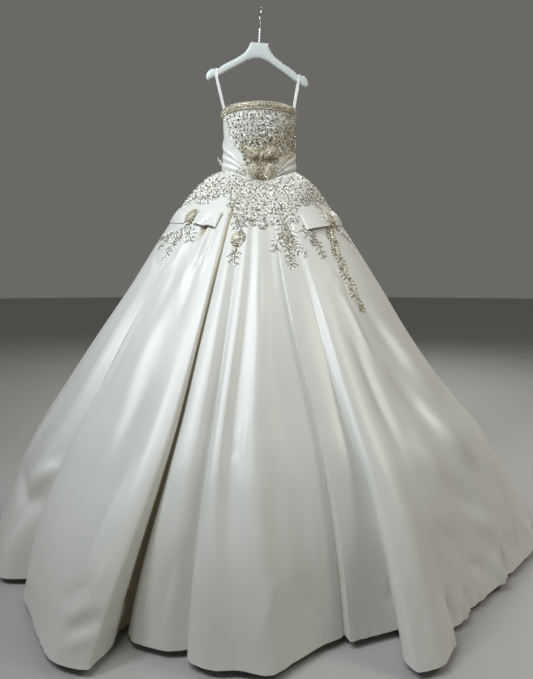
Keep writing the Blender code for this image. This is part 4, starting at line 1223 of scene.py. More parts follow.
def build_hip_bow(field, bow, satin):
    """A flat band from the knot round the side and a folded loop towards the front, both
    gathered where they go under the knot."""
    share = np.linspace(0, 1, BOW_ROWS)[None, :]

    def laid(turn):
        """The dress under a band at angles away from the front, sloping with the angle."""
        beside = turn - bow.knot
        pinch = 1 - BOW_PINCH * np.exp(-((beside / BOW_PINCH_ANGLE) ** 2))
        height = bow.height + BOW_RISE_PER_DEGREE * beside
        height = height + BOW_HALF_HEIGHT * pinch * (1 - 2 * share)
        angle = np.radians(bow.sign * turn) + 0 * share
        base, _, _, facing = frames(partial(on_dress, field), angle, height)
        near = np.exp(-np.abs(beside - np.sign(beside) * KNOT_HALF_ANGLE) / GATHER_ANGLE)
        gather = GATHER_DEPTH * near * np.cos(2 * np.pi * (GATHERS * share + 0.15 * np.sin(turn)))
        return base, facing, gather[..., None]

    turn = np.linspace(bow.knot + KNOT_HALF_ANGLE, bow.outer_end, BOW_BAND_COLUMNS)[:, None]
    base, facing, gather = laid(turn)
    swell = np.sin(np.linspace(0, np.pi, len(turn)))[:, None] * np.sin(np.pi * share)
    under = base + facing * (BOW_GAP + GATHER_DEPTH + BOW_PUFF * swell[..., None] + gather)
    made = shell(f"satin_hip_bow_{bow.side}_band", under + facing * BOW_WALL, under, satin)
    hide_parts(f"hip_bow_{bow.side}_band")
    cut_from(under)

    turn = np.linspace(bow.knot - KNOT_HALF_ANGLE, bow.inner_end, BOW_LOOP_COLUMNS)[:, None]
    base, facing, gather = laid(turn)
    crown = np.sin(np.linspace(0, np.pi, len(turn)))
    lift = BOW_LOOP_DEPTH * (1 - BOW_LOOP_CROWN + BOW_LOOP_CROWN * crown)
    face = base + facing * (lift[:, None, None] + gather)
    back = base + facing * BOW_GAP
    ahead = unit(base[-1] - base[-2])
    bend = lift[-1] / 2
    swing = np.linspace(BOW_BEND_ANGLE, -BOW_BEND_ANGLE, BOW_BEND_COLUMNS)
    swing = np.radians(swing)[:, None, None]

    def turned(radius):
        """The loop's free end: lines round the bend at a radius."""
        out = facing[-1] * (bend + (radius - BOW_GAP) * np.sin(swing))
        return base[-1] + out + ahead * radius * np.cos(swing)

    outer = np.concatenate([face, turned(bend), back[::-1]])
    lining = [face - facing * BOW_WALL, turned(bend - BOW_WALL), (back + facing * BOW_WALL)[::-1]]
    made = shell(f"satin_hip_bow_{bow.side}_loop", outer, np.concatenate(lining), satin)
    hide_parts(f"hip_bow_{bow.side}_loop")
    cut_from(outer)


def hanger_place(points):
    """Points of the hanger's own frame, tilted and turned about the hook's inner top."""
    tilt, yaw = np.radians([HANGER_TILT, HANGER_YAW])
    x, y, z = np.moveaxis(np.asarray(points, float), -1, 0)
    x, z = x * np.cos(tilt) + z * np.sin(tilt), z * np.cos(tilt) - x * np.sin(tilt)
    x, y = x * np.cos(yaw) - y * np.sin(yaw), y * np.cos(yaw) + x * np.sin(yaw)
    return np.stack([x, y, z], axis=-1)


def arm_edges(x):
    """Upper and lower edge of the hanger below the hook's inner top at distances x."""
    table = np.array([[a.top, a.bottom] for a in HANGER_ARM])
    top, bottom = pchip([a.x for a in HANGER_ARM], table, np.abs(x)).T
    return top - NECK_DROP, bottom - NECK_DROP


def build_hanger(plastic):
    """Shaped hanger: superelliptic sections between the arm's upper and lower edges."""
    right = 1 - (1 - np.linspace(0, 1, HANGER_STATIONS)) ** HANGER_STATION_CROWDING
    right = HANGER_ARM[-1].x * right
    x = np.concatenate([-right[:0:-1], right])
    top, bottom = arm_edges(x)
    turn = np.linspace(0, 2 * np.pi, HANGER_SIDES, endpoint=False)
    cosine = np.sign(np.cos(turn)) * np.abs(np.cos(turn)) ** (2 / HANGER_ROUNDING)
    sine = np.sign(np.sin(turn)) * np.abs(np.sin(turn)) ** (2 / HANGER_ROUNDING)
    middle, half = (top + bottom) / 2, (top - bottom) / 2
    ending = ((np.abs(x) - HANGER_END_START) / HANGER_END_LENGTH).clip(0)
    round_end = np.sqrt(np.maximum(1 - ending**2, HANGER_END_FLATNESS))
    depth = HANGER_DEPTH / 2 * cosine[None, :] * round_end[:, None]
    height = middle[:, None] + half[:, None] * sine[None, :]
    sections = np.stack([x[:, None] + 0 * depth, depth, height], axis=-1)
    made = loft("moulded_hanger_body", hanger_place(sections), plastic, HANGER_SHARP_ANGLE)
    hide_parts("hanger_body")


def build_hook(steel):
    """Bent wire: a stem out of the neck, a bend backwards, an arc over the rail, a round tip."""
    radius = HOOK_INNER_RADIUS + WIRE_RADIUS
    stem = [(0.0, z) for z in np.linspace(SEAM_GAP - NECK_DROP, STEM_TOP, 5)]
    turn = np.radians(np.linspace(HOOK_START_ANGLE, HOOK_TIP_ANGLE, HOOK_ARC_POINTS))
    arc = [(radius * np.cos(a), radius * np.sin(a) - HOOK_INNER_RADIUS) for a in turn]
    corners = np.array([*stem, *HOOK_BEND, *arc])
    along = way_along(corners)
    path = pchip(along, corners, np.linspace(0, along[-1], HOOK_POINTS))
    ahead = unit(np.gradient(path, axis=0))
    end = np.sin(np.linspace(0, np.pi / 2, HOOK_TIP_POINTS + 1))[1:]
    path = np.concatenate([path[:-1], path[-1] + ahead[-1] * WIRE_RADIUS * (end[:, None] - 1)])
    ahead = np.concatenate([ahead[:-1], np.repeat(ahead[-1:], HOOK_TIP_POINTS, axis=0)])
    tip = np.sqrt(np.maximum(1 - end**2, 0.0004))
    wide = np.concatenate([np.ones(HOOK_POINTS - 1), tip])[:, None]
    around = np.linspace(0, 2 * np.pi, WIRE_SIDES, endpoint=False)
    side = np.stack([-ahead[:, 1], ahead[:, 0]], axis=1)
    y = path[:, :1] + WIRE_RADIUS * wide * np.cos(around) * side[:, :1]
    z = path[:, 1:] + WIRE_RADIUS * wide * np.cos(around) * side[:, 1:]
    x = WIRE_RADIUS * wide * np.sin(around)
    sections = hanger_place(np.stack([x, y, z], axis=-1))
    made = loft("steel_hanger_hook", sections, steel, WIRE_SHARP_ANGLE)
    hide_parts("hanger_hook")


def build_ribbon(side, sign, ribbon):
    """A loop over the hanger's notch, its two ends sewn inside the bodice's side seam."""
    x = sign * NOTCH_X
    near = NOTCH_X + RIBBON_WIDTH * np.linspace(-0.5, 0.5, 9)
    top = arm_edges(near)[0].max() + BAND_LIFT
    low = arm_edges(near)[1].min()
    half = HANGER_DEPTH / 2 + BAND_LIFT
    bend = np.radians(np.linspace(90, 0, RIBBON_CORNER_POINTS))
    over = zip(RIBBON_CORNER * (1 - np.sin(bend)) - half, top - RIBBON_CORNER * (1 - np.cos(bend)))
    front = [(x, y, z) for y, z in [(-half, low), (-half, (top + low) / 2), *over]]
    back = [(x, -y, z) for _, y, z in front[::-1]]
    upper = hanger_place(front + back)
    inside = BODICE_GIRTHS[-2].half_width - BODICE_WALL - BAND_LIFT
    foot_x = DRESS_X + sign * (inside - RIBBON_FOOT_WIDTH / 2)
    foot_z = NECKLINE_HEIGHT - HOOK_TO_HEM - np.array([RIBBON_FOOT_DEPTH, 0])
    feet = [[(foot_x, s * RIBBON_FOOT_SPREAD, z) for z in foot_z] for s in (-1, 1)]
    corners = np.array([*feet[0], *upper, *feet[1][::-1]])
    along = way_along(corners)
    steps = np.linspace(0, along[-1], RIBBON_POINTS)
    path = np.stack([np.interp(steps, along, axis) for axis in corners.T], axis=1)
    ahead = unit(np.gradient(path, axis=0))
    wide = hanger_place([(1.0, 0.0, 0.0)])[0]
    wide = unit(wide - ahead * (ahead @ wide)[:, None])
    thick = unit(np.cross(wide, ahead))
    ends = np.minimum(steps, along[-1] - steps) / RIBBON_FOOT_DEPTH
    width = RIBBON_FOOT_WIDTH + (RIBBON_WIDTH - RIBBON_FOOT_WIDTH) * np.clip(ends - 1, 0, 1)
    at = np.linspace(-0.5, 0.5, RIBBON_COLUMNS)
    lines = [(a, 0.0) for a in at] + [(a, 1.0) for a in at[::-1]]
    sections = np.stack(
        [path + wide * width[:, None] * a + thick * RIBBON_THICKNESS * b for a, b in lines],
        axis=1,
    )
    made = loft(f"woven_ribbon_loop_{side}", sections, ribbon)
    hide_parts(f"ribbon_loop_{side}")


def drape_lift(angle, height):
    """How far the pleated drapes stand off the bodice at angles and heights, 0 beside them."""
    lift = 0 * angle
    for drape in DRAPES:
        across = np.degrees(angle) * drape.side - abs(drape.front_end)
        across = across / (90 - abs(drape.front_end))
        inside = (across > 0) & (across < 1)
        across = np.clip(across, 0, 1)
        top, foot = drape_top(across), waist_height(angle)
        down = (top - height) / (top - foot)
        inside &= (down > -0.02) & (down < 1)
        fold = drape_pleats(across, np.clip(down, 0, 1))
        lift = np.where(inside, DRAPE_THICKNESS + DRAPE_PLEAT_HEIGHT * fold + DRAPE_CLEARANCE, lift)
    return lift


def cloth_surface(field):
    """The dress with its drapes as a surface over angle and height."""

    def surface(angle, height):
        """Points of the dress, or of the drape that lies on it."""
        base = on_dress(field, angle, height)
        return base + level_out(base) * drape_lift(angle, height)[..., None]

    return surface


def spread(field, angle, height, x, y):
    """Angles and heights of points x across and y up from a place, measured on the cloth."""
    way = np.interp(-height, -field.level, field.way) - y
    reach = np.interp(way, field.way, field.reach)
    return angle + x / reach, np.interp(way, field.way, field.level)


Shape = namedtuple("Shape", "points faces")
# Rim of a leaf one unit long and wide, from its tip clockwise
LEAF_RIM = (
    (0, 0.5), (0.36, 0.2), (0.5, -0.12), (0.3, -0.4), (0, -0.5), (-0.3, -0.4), (-0.5, -0.12),
    (-0.36, 0.2),
)


def leaf_shape():
    """A pointed leaf: a flat rim, a raised midrib of two points and one point below."""
    rim = [(x, y, 0.2) for x, y in LEAF_RIM]
    points = np.array([*rim, (0, 0.16, 0.9), (0, -0.22, 1.0), (0, 0, -0.1)])
    faces = [(0, 8, 1), (1, 8, 9), (1, 9, 2), (2, 9, 3), (3, 9, 4), (4, 9, 5), (5, 9, 6)]
    faces += [(6, 9, 7), (7, 9, 8), (7, 8, 0)]
    faces += [(k, (k + 1) % 8, 10) for k in range(8)]
    return Shape(points, np.array(faces))


def turned_shape(rings, sides):
    """A bead turned about the upright axis from (radius, height) rings, closed at both ends."""
    turn = np.linspace(0, 2 * np.pi, sides, endpoint=False)
    body = [
        np.stack([r * np.cos(turn), r * np.sin(turn), h + 0 * turn], axis=1)
        for r, h in rings[1:-1]
    ]
    points = np.concatenate([[(0, 0, rings[0][1])], *body, [(0, 0, rings[-1][1])]])
    number = round_off(1 + np.arange(sides * len(body)).reshape(len(body), sides))
    low, high = np.zeros(sides, int), np.full(sides, len(points) - 1)
    faces = [np.stack([low, number[0, 1:], number[0, :-1]], axis=1)]
    for first, second in zip(number[:-1], number[1:]):
        faces.append(np.stack([first[:-1], first[1:], second[1:]], axis=1))
        faces.append(np.stack([first[:-1], second[1:], second[:-1]], axis=1))
    faces.append(np.stack([high, number[-1, :-1], number[-1, 1:]], axis=1))
    return Shape(points, faced_out(points, [np.concatenate(faces)])[0])


LEAF = leaf_shape()
LEAF_WIDTH = 0.50
LEAF_THICKNESS = 0.0015
SEED = turned_shape(((0, -0.1), (0.5, 0.4), (0, 0.9)), 6)
CRYSTAL = turned_shape(((0, -0.1), (0.5, 0.35), (0.27, 0.8), (0, 0.84)), 8)
# A tube bead lies along the cloth's up, one unit long
BUGLE = Shape(SEED.points[:, [0, 2, 1]] - (0, 0.4, -0.4), SEED.faces[:, ::-1])


def sew(store, shape, place_on, turn, length, width, thick, tone):
    """Keeps copies of a shape: each is scaled, turned on the cloth and set on its place."""
    spot, across, up, out = place_on
    turn = np.ravel(turn)[:, None]
    ahead = across * np.sin(turn) + up * np.cos(turn)
    aside = across * np.cos(turn) - up * np.sin(turn)
    points = spot[:, None, :]
    for axis, size, column in ((aside, width, 0), (ahead, length, 1), (out, thick, 2)):
        size = np.broadcast_to(np.asarray(size, float), (len(spot),))[:, None, None]
        points = points + axis[:, None, :] * shape.points[None, :, column : column + 1] * size
    store.append((points, shape.faces, np.broadcast_to(tone, (len(spot),))))


BEAD_SHARP_ANGLE = 30


def sewn_piece(name, store, material):
    """One joined mesh of all the shapes kept in a store, each with its own bead tone, which also
    carries painted sparkle and shade.
    """
    points, faces, tones, count = [], [], [], 0
    for spots, shape_faces, tone in store:
        copies, each = spots.shape[:2]
        offset = count + np.arange(copies)[:, None, None] * each
        points.append(spots.reshape(-1, 3))
        faces.append((shape_faces[None] + offset).reshape(-1, 3))
        tones.append(np.repeat(tone, each))
        count += copies * each
    values = {"bead_tone": np.concatenate(tones)}
    points, faces = np.concatenate(points), [np.concatenate(faces)]
    made = add_piece(name, points, faces, material, BEAD_SHARP_ANGLE, values)


# Leaves are rows of x, y, turn and size; beads and crystals rows of x, y and size
Motif = namedtuple("Motif", "leaves beads crystals")
# Sizes of the beads and crystals of sprigs and scrolls, and the way from bead to bead
STEM_BEAD = 0.0024
STEM_CRYSTAL = 0.0046
BEAD_PITCH = 0.0027
STEM_POINTS = 60
BRANCH_POINTS = 80


def sprig(length, bend, pairs, leaf, flare=58.0):
    """A stem that bends evenly, beads along it, leaves in pairs that shorten to the tip."""
    share = np.linspace(0, 1, STEM_POINTS)
    heading = np.radians(bend) * share
    x = np.cumsum(np.sin(heading)) * length / (STEM_POINTS - 1)
    y = np.cumsum(np.cos(heading)) * length / (STEM_POINTS - 1)
    at = np.linspace(0.16, 0.88, pairs)[:, None] + 0.03 * np.array([-1, 1])
    turn = np.radians(bend) * at + np.radians(flare) * np.array([-1, 1])
    size = leaf * (1.0 - 0.35 * at)
    rows = [
        np.interp(at, share, x) + 0.6 * size * np.sin(turn),
        np.interp(at, share, y) + 0.6 * size * np.cos(turn),
        turn,
        size,
    ]
    tip = np.radians(bend)
    end = (x[-1] + 0.4 * leaf * np.sin(tip), y[-1] + 0.4 * leaf * np.cos(tip), tip, 0.8 * leaf)
    leaves = np.concatenate([np.stack([r.ravel() for r in rows], axis=1), [end]])
    t = np.linspace(0, 0.97, max(int(length / BEAD_PITCH), 2))
    size = np.full(len(t), STEM_BEAD)
    beads = np.stack([np.interp(t, share, x), np.interp(t, share, y), size], 1)
    return Motif(leaves, beads, np.array([(0, 0, STEM_CRYSTAL)]))


def moved(motif, x, y, turn, mirror=1):
    """A motif mirrored, turned to the right and moved."""
    rows = []
    for part in motif:
        part = part.copy()
        across = part[:, 0] * mirror
        part[:, 0] = x + across * np.cos(turn) + part[:, 1] * np.sin(turn)
        part[:, 1] = y + part[:, 1] * np.cos(turn) - across * np.sin(turn)
        rows.append(part)
    if len(motif.leaves):
        rows[0][:, 2] = motif.leaves[:, 2] * mirror + turn
    return Motif(*rows)


def joined(motifs):
    """Several motifs as one."""
    return Motif(*[np.concatenate(parts) for parts in zip(*motifs)])


# Twigs of a branch: length, bend, how far their leaves flare, and their lean from the stem
TWIG_LENGTH = 0.020
TWIG_BEND = 34
TWIG_FLARE = 52.0
TWIG_LEAN = 38


def branch(length, bend, count, leaf):
    """A bent main stem with short leafy twigs that leave it by turns to the left and right."""
    main = sprig(length, bend, 2, leaf)
    stem = Motif(main.leaves[-1:], main.beads, main.crystals)
    share = np.linspace(0.10, 0.92, count)
    heading = np.radians(bend) * share
    fine = np.linspace(0, 1, BRANCH_POINTS)
    x = np.cumsum(np.sin(np.radians(bend) * fine)) * length / (BRANCH_POINTS - 1)
    y = np.cumsum(np.cos(np.radians(bend) * fine)) * length / (BRANCH_POINTS - 1)
    parts = [stem]
    for k, t in enumerate(share):
        side = 1 if k % 2 else -1
        size = leaf * (1.20 - 0.3 * t)
        twig = sprig(TWIG_LENGTH * (1.05 - 0.4 * t), TWIG_BEND, 3, size, TWIG_FLARE)
        at = np.interp(t, fine, x), np.interp(t, fine, y)
        parts.append(moved(twig, *at, heading[k] + side * np.radians(TWIG_LEAN), side))
    return joined(parts)


def flower(radius, petals):
    """Leaf-shaped petals round a crystal, with a seed bead in each gap."""
    turn = np.arange(petals) * 2 * np.pi / petals
    gap = turn + np.pi / petals
    size = np.full(petals, 0.9 * radius)
    leaves = np.stack([0.56 * radius * np.sin(turn), 0.56 * radius * np.cos(turn), turn, size], 1)
    size = np.full(petals, 0.0026)
    beads = np.stack([0.82 * radius * np.sin(gap), 0.82 * radius * np.cos(gap), size], 1)
    return Motif(leaves, beads, np.array([(0, 0, 0.0052)]))


def scroll(size, turns, leaf):
    """A string of beads on a spiral whose radius grows evenly, with leaves on its outside."""
    t = np.linspace(0.15, 1, int(size * turns * 1.8 / BEAD_PITCH))
    swing, radius = 2 * np.pi * turns * t, size / 2 * t
    beads = np.stack([radius * np.sin(swing), radius * np.cos(swing), 0.0025 + 0 * t], 1)
    out = np.linspace(0.55, 1.0, 4)
    swing, reach = 2 * np.pi * turns * out, size / 2 * out + 0.5 * leaf
    leaves = [reach * np.sin(swing), reach * np.cos(swing), swing + 0.7, leaf + 0 * out]
    return Motif(np.stack(leaves, 1), beads, np.array([(0, 0, STEM_CRYSTAL)]))


def medallion(wide, tall, leaf):
    """Three oval rings of beads, one inside the other, with slanting leaves on each."""
    leaves, beads = [], []
    for scale in (1.0, 0.66, 0.33):
        across, up = wide / 2 * scale, tall / 2 * scale
        turn = np.arange(0, 2 * np.pi, 0.0060 / (across + up))
        beads.append(np.stack([across * np.sin(turn), up * np.cos(turn), 0.0027 + 0 * turn], 1))
        turn = np.arange(0, 2 * np.pi, 1.24 * leaf / (across + up))
        places = 0.88 * across * np.sin(turn), 0.88 * up * np.cos(turn)
        leaves.append(np.stack([*places, turn + 0.9, leaf + 0 * turn], 1))
    return Motif(np.concatenate(leaves), np.concatenate(beads), np.array([(0, 0, 0.0050)]))


def lay_motif(store, field, motif, angle, height, heading, size, mirror, seed, dark=0.0):
    """Sews copies of a motif on the dress at angles (degrees) and heights, each turned by its
    heading (degrees from up, to the right), scaled, and mirrored where mirror is -1."""
    random = np.random.default_rng(seed)
    given = [np.atleast_1d(np.asarray(v, float)) for v in (angle, height, heading, size, mirror)]
    angle, height, heading, size, mirror = [v[:, None] for v in np.broadcast_arrays(*given)]
    angle, turn = np.radians(angle), np.radians(heading)
    surface = cloth_surface(field)

    def placed(x, y):
        """Places on the cloth of a motif's points, for every copy of it."""
        x, y = x[None, :] * mirror * size, y[None, :] * size
        across, up = x * np.cos(turn) + y * np.sin(turn), y * np.cos(turn) - x * np.sin(turn)
        a, h = spread(field, angle, height, across, up)
        return frames(surface, a.ravel(), h.ravel())

    leaves = motif.leaves
    lean = (leaves[None, :, 2] * mirror + turn).ravel()
    long = (leaves[None, :, 3] * size).ravel()
    tone = np.clip(random.beta(0.7, 0.8, len(long)) - dark, 0, 1)
    spots = placed(leaves[:, 0], leaves[:, 1])
    sew(store, LEAF, spots, lean, long, long * LEAF_WIDTH, LEAF_THICKNESS, tone)
    for rows, shape, low, high in ((motif.beads, SEED, 0.15, 0.8), (motif.crystals, CRYSTAL, 0, 0.3)):
        wide = (rows[None, :, 2] * size).ravel()
        tone = np.clip(random.uniform(low, high, len(wide)) - dark, 0, 1)
        sew(store, shape, placed(rows[:, 0], rows[:, 1]), 0 * wide, wide, wide, wide * 0.8, tone)


# Rows of a net are this share of its spacing apart, and places are shaken by these shares
NET_ROW_SHARE = 0.87
SHAKE_ACROSS = 0.28
SHAKE_DOWN = 0.22


def even_net(field, low, high, top, foot, spacing, seed):
    """Angles (degrees) and heights of a shaken three-cornered net over a stretch of cloth."""
    random = np.random.default_rng(seed)
    way_top, way_foot = np.interp([-top, -foot], -field.level, field.way)
    rows = max(int((way_foot - way_top) / (spacing * NET_ROW_SHARE)), 1)
    angles, heights = [], []
    for row in range(rows + 1):
        way = way_top + (way_foot - way_top) * (row + 0.5) / (rows + 1)
        reach = np.interp(way, field.way, field.reach)
        count = max(int(np.radians(high - low) * reach / spacing), 1)
        at = low + (high - low) * (np.arange(count) + 0.25 + 0.5 * (row % 2)) / count
        aside = random.uniform(-SHAKE_ACROSS, SHAKE_ACROSS, count)
        angles.append(at + np.degrees(aside * spacing / reach))
        shaken = way + random.uniform(-SHAKE_DOWN, SHAKE_DOWN, count) * spacing
        heights.append(np.interp(shaken, field.way, field.level))
    return np.concatenate(angles), np.concatenate(heights)


def clear_of_bows(angle, height):
    """Whether places at angles (degrees) and heights are clear of the hip bows' bands."""
    clear = np.ones(len(angle), bool)
    for bow in HIP_BOWS:
        turn = angle * bow.sign
        middle = bow.height + BOW_RISE_PER_DEGREE * (turn - bow.knot)
        on_band = np.abs(height - middle) < BOW_HALF_HEIGHT + BOW_CLEARANCE
        on_band &= turn > bow.inner_end - BOW_END_CLEARANCE
        clear &= ~(on_band & (turn < bow.outer_end + BOW_END_CLEARANCE))
    return clear


def scatter(store, field, angle, height, heading, spread_by, scale, seed, dark=0.0):
    """Sews a mixture of sprigs, flowers and scrolls on places of a net."""
    random = np.random.default_rng(seed)
    count = len(angle)
    kind = random.uniform(0, 1, count)
    heading = heading + random.uniform(-spread_by, spread_by, count)
    size = scale * random.uniform(0.85, 1.1, count)
    mirror = np.where(random.uniform(0, 1, count) > 0.5, 1, -1)
    motifs = (
        (sprig(0.0165, 60, 3, 0.0066), kind < 0.5),
        (flower(0.0068, 5), (kind >= 0.5) & (kind < 0.70)),
        (scroll(0.0175, 1.2, 0.0056), kind >= 0.70),
    )
    for k, (motif, some) in enumerate(motifs):
        args = [v[some] for v in (angle, height, heading, size, mirror)]
        lay_motif(store, field, motif, *args, seed + 1 + k, dark)


def build_yoke(field, beads):
    """Sprigs, flowers and scrolls over the top of the skirt, down to the yoke's edge, and on
    the front ends of the drapes; the back half is a piece of its own."""
    edge_angle, edge_height = np.array(YOKE_EDGE).T

    def inside(angle, height, margin=0.0):
        """Whether places lie between the yoke's edge and the waist, clear of the hip bows."""
        low, high = np.interp(angle, edge_angle, edge_height), waist_height(np.radians(angle))
        return (height > low + margin) & (height < high - 0.002) & clear_of_bows(angle, height)

    for name, spans in (("front", ((-90, 90),)), ("back", ((-180, -90), (90, 180)))):
        store = []
        for k, (low, high) in enumerate(spans):
            angle, height = even_net(field, low, high, YOKE_TOP, *YOKE_MOTIF_NET, 11 + k)
            some = inside(angle, height)
            scatter(store, field, angle[some], height[some], 180, 80, 1.22, 12 + k, -0.10)
            edge = np.arange(low + 2, high, 4.6)
            rim = np.interp(edge, edge_angle, edge_height) + 0.006
            scatter(store, field, edge, rim, 180, 30, 1.05, 16 + k)
            angle, height = even_net(field, low, high, YOKE_TOP, *YOKE_SEED_NET, 27 + k)
            sew_seeds(store, field, angle, height, inside(angle, height, 0.006), 0.1, 0.9, 28 + k)
            angle, height = even_net(field, low, high, YOKE_TOP, *YOKE_CRYSTAL_NET, 31 + k)
            some = inside(angle, height, 0.004)
            sew_seeds(store, field, angle, height, some, 0.0, 0.25, 34 + k, CRYSTAL, 0.0064)
        if name == "front":
            angle, height = even_net(field, *DRAPE_FRONT_NET)
            some = height > waist_height(np.radians(angle)) + 0.006
            some &= np.abs(angle - FRONT_TURN) > 29
            scatter(store, field, angle[some], height[some], 180, 80, 0.9, 22)
        sewn_piece(f"yoke_beading_{name}", store, beads)


def sew_seeds(store, field, angle, height, inside, low, high, seed, shape=None, size=0.0028):
    """Single seed beads, or others of a given shape and size, on the chosen places of a net."""
    random = np.random.default_rng(seed)
    angle, height = np.radians(angle[inside]), height[inside]
    wide = size * random.uniform(0.86, 1.14, len(angle))
    spots = frames(cloth_surface(field), angle, height)
    tone = random.uniform(low, high, len(angle))
    sew(store, shape or SEED, spots, 0 * angle, wide, wide, wide * 0.8, tone)


# Scrolls in mirrored pairs: angle away from the centre front and height, on the bodice's upper
# part, its lower part and the skirt's yoke
HEART_SCROLLS = ((12.0, 1.378), (16.0, 1.342), (33.0, 1.382), (38.0, 1.348), (55.0, 1.368))
HEART_WARM_SCROLLS = ((13.0, 1.306), (31.0, 1.312), (28.0, 1.276), (50.0, 1.325))
YOKE_SCROLLS = (
    (5.5, 1.142), (9.0, 1.108), (15.5, 1.150), (20.0, 1.112), (26.0, 1.146), (14.0, 1.072),
    (36.0, 1.152), (48.0, 1.158), (8.0, 1.058), (60.0, 1.150), (3.5, 1.086),
)


def build_heart(field, silver, champagne):
    """Close beading over the front of the bodice, out to the heart's edge: clear beads above,
    champagne ones below."""
    clear, warm = [], []
    level, left, right = np.array(HEART_EDGE).T

    def inside(angle, height, margin=0.0):
        """Whether places lie between the heart's edges, clear of them by a margin in degrees."""
        start, stop = np.interp(height, level, left), np.interp(height, level, right)
        return (angle > start + margin) & (angle < stop - margin)

    angle, height = even_net(field, *HEART_MOTIF_NET)
    some = inside(angle, height)
    angle, height = angle[some], height[some]
    low = height < 1.326 + 0.0007 * (angle - FRONT_TURN)
    scatter(clear, field, angle[~low], height[~low], 0, 170, 1.12, 32, -0.22)
    scatter(warm, field, angle[low], height[low], 0, 170, 1.12, 37, 0.05)
    # Larger scrolls and flowers in mirrored pairs about the centre front
    curl, rose = scroll(0.034, 1.5, 0.0090), flower(0.0110, 8)
    for k, side in enumerate((-1, 1)):
        turn, tall = np.array(HEART_SCROLLS).T
        args = FRONT_TURN + side * turn, tall, 30 * side, 1.0, side
        lay_motif(clear, field, curl, *args, 46 + k, -0.45)
        turn, tall = np.array(HEART_WARM_SCROLLS).T
        args = FRONT_TURN + side * turn, tall, 150 * side, 0.9, side
        lay_motif(warm, field, curl, *args, 48 + k, -0.35)
    tall = np.array([1.395, 1.362, 1.330])
    lay_motif(clear, field, rose, FRONT_TURN, tall, 0, 1.0, 1, 50, -0.30)
    angle, height = even_net(field, *HEART_CRYSTAL_NET)
    sew_seeds(clear, field, angle, height, inside(angle, height, 2), 0.0, 0.16, 52, CRYSTAL, 0.0070)
    angle, height = even_net(field, *HEART_SEED_NET)
    sew_seeds(warm, field, angle, height, inside(angle, height, 2), 0.05, 0.7, 42)
    angle, height = even_net(field, *WAIST_POINT_NET)
    sew_seeds(warm, field, angle, height, np.abs(angle - FRONT_TURN) < 18, 0.2, 0.9, 44)
    sewn_piece("bodice_clear_beading", clear, silver)
    sewn_piece("bodice_champagne_beading", warm, champagne)


# Ovals among the sprays of the right cascade and beside the hip bows: angle, height and size
OVALS = ((17.1, 0.955, 1.0), (32.4, 0.957, 0.62), (-49.7, 0.963, 0.62))
# Champagne scrolls and flowers among the sprays: angle, height and which way round
CASCADE_SCROLLS = ((15.0, 0.975, 1), (19.4, 0.968, -1))
HIP_SCROLLS = ((-48.5, 1.000, 1), (61.0, 1.004, -1))
CASCADE_FLOWERS = ((-12.0, 0.916, -1), (17.2, 0.990, 1), (17.0, 0.950, -1))


def build_sprays(field, silver, champagne):
    """The single sprays on the skirt, ovals among them, and champagne scrolls and flowers."""
    store = []
    for k, s in enumerate(map(Spray._make, SPRAYS)):
        motif = branch(s.length, s.bend, s.twigs, SPRAY_LEAF_SCALE * s.leaf)
        lay_motif(store, field, motif, s.angle, s.height, s.heading, 1.0, 1, 60 + k)
    angle, height, size = np.array(OVALS).T
    oval = medallion(0.046, 0.080, 0.0098)
    lay_motif(store, field, oval, angle, height, 178, size, 1, 128, 0.08)
    warm = []
    curl = scroll(0.024, 1.3, 0.0085)
    angle, height, mirror = np.array(CASCADE_SCROLLS).T
    lay_motif(warm, field, curl, angle, height, 180, 1.0, mirror, 120)
    # The oval at the head of the left cascade
    oval = medallion(0.044, 0.062, 0.0088)
    lay_motif(warm, field, oval, -11.6, 0.957, 188, 1.0, 1, 127, 0.12)
    angle, height, mirror = np.array(HIP_SCROLLS).T
    lay_motif(warm, field, curl, angle, height, 150, 1.1, mirror, 121)
    for k, side in enumerate((-1, 1)):
        turn, tall = np.array(YOKE_SCROLLS).T
        args = FRONT_TURN + side * turn, tall, 165 * side, 1.15, side
        lay_motif(warm, field, curl, *args, 123 + k)
    angle, height, mirror = np.array(CASCADE_FLOWERS).T
    lay_motif(warm, field, flower(0.0110, 7), angle, height, 180, 1.0, mirror, 122)
    sewn_piece("champagne_scrolls", warm, champagne)
    sewn_piece("skirt_sprays", store, silver)


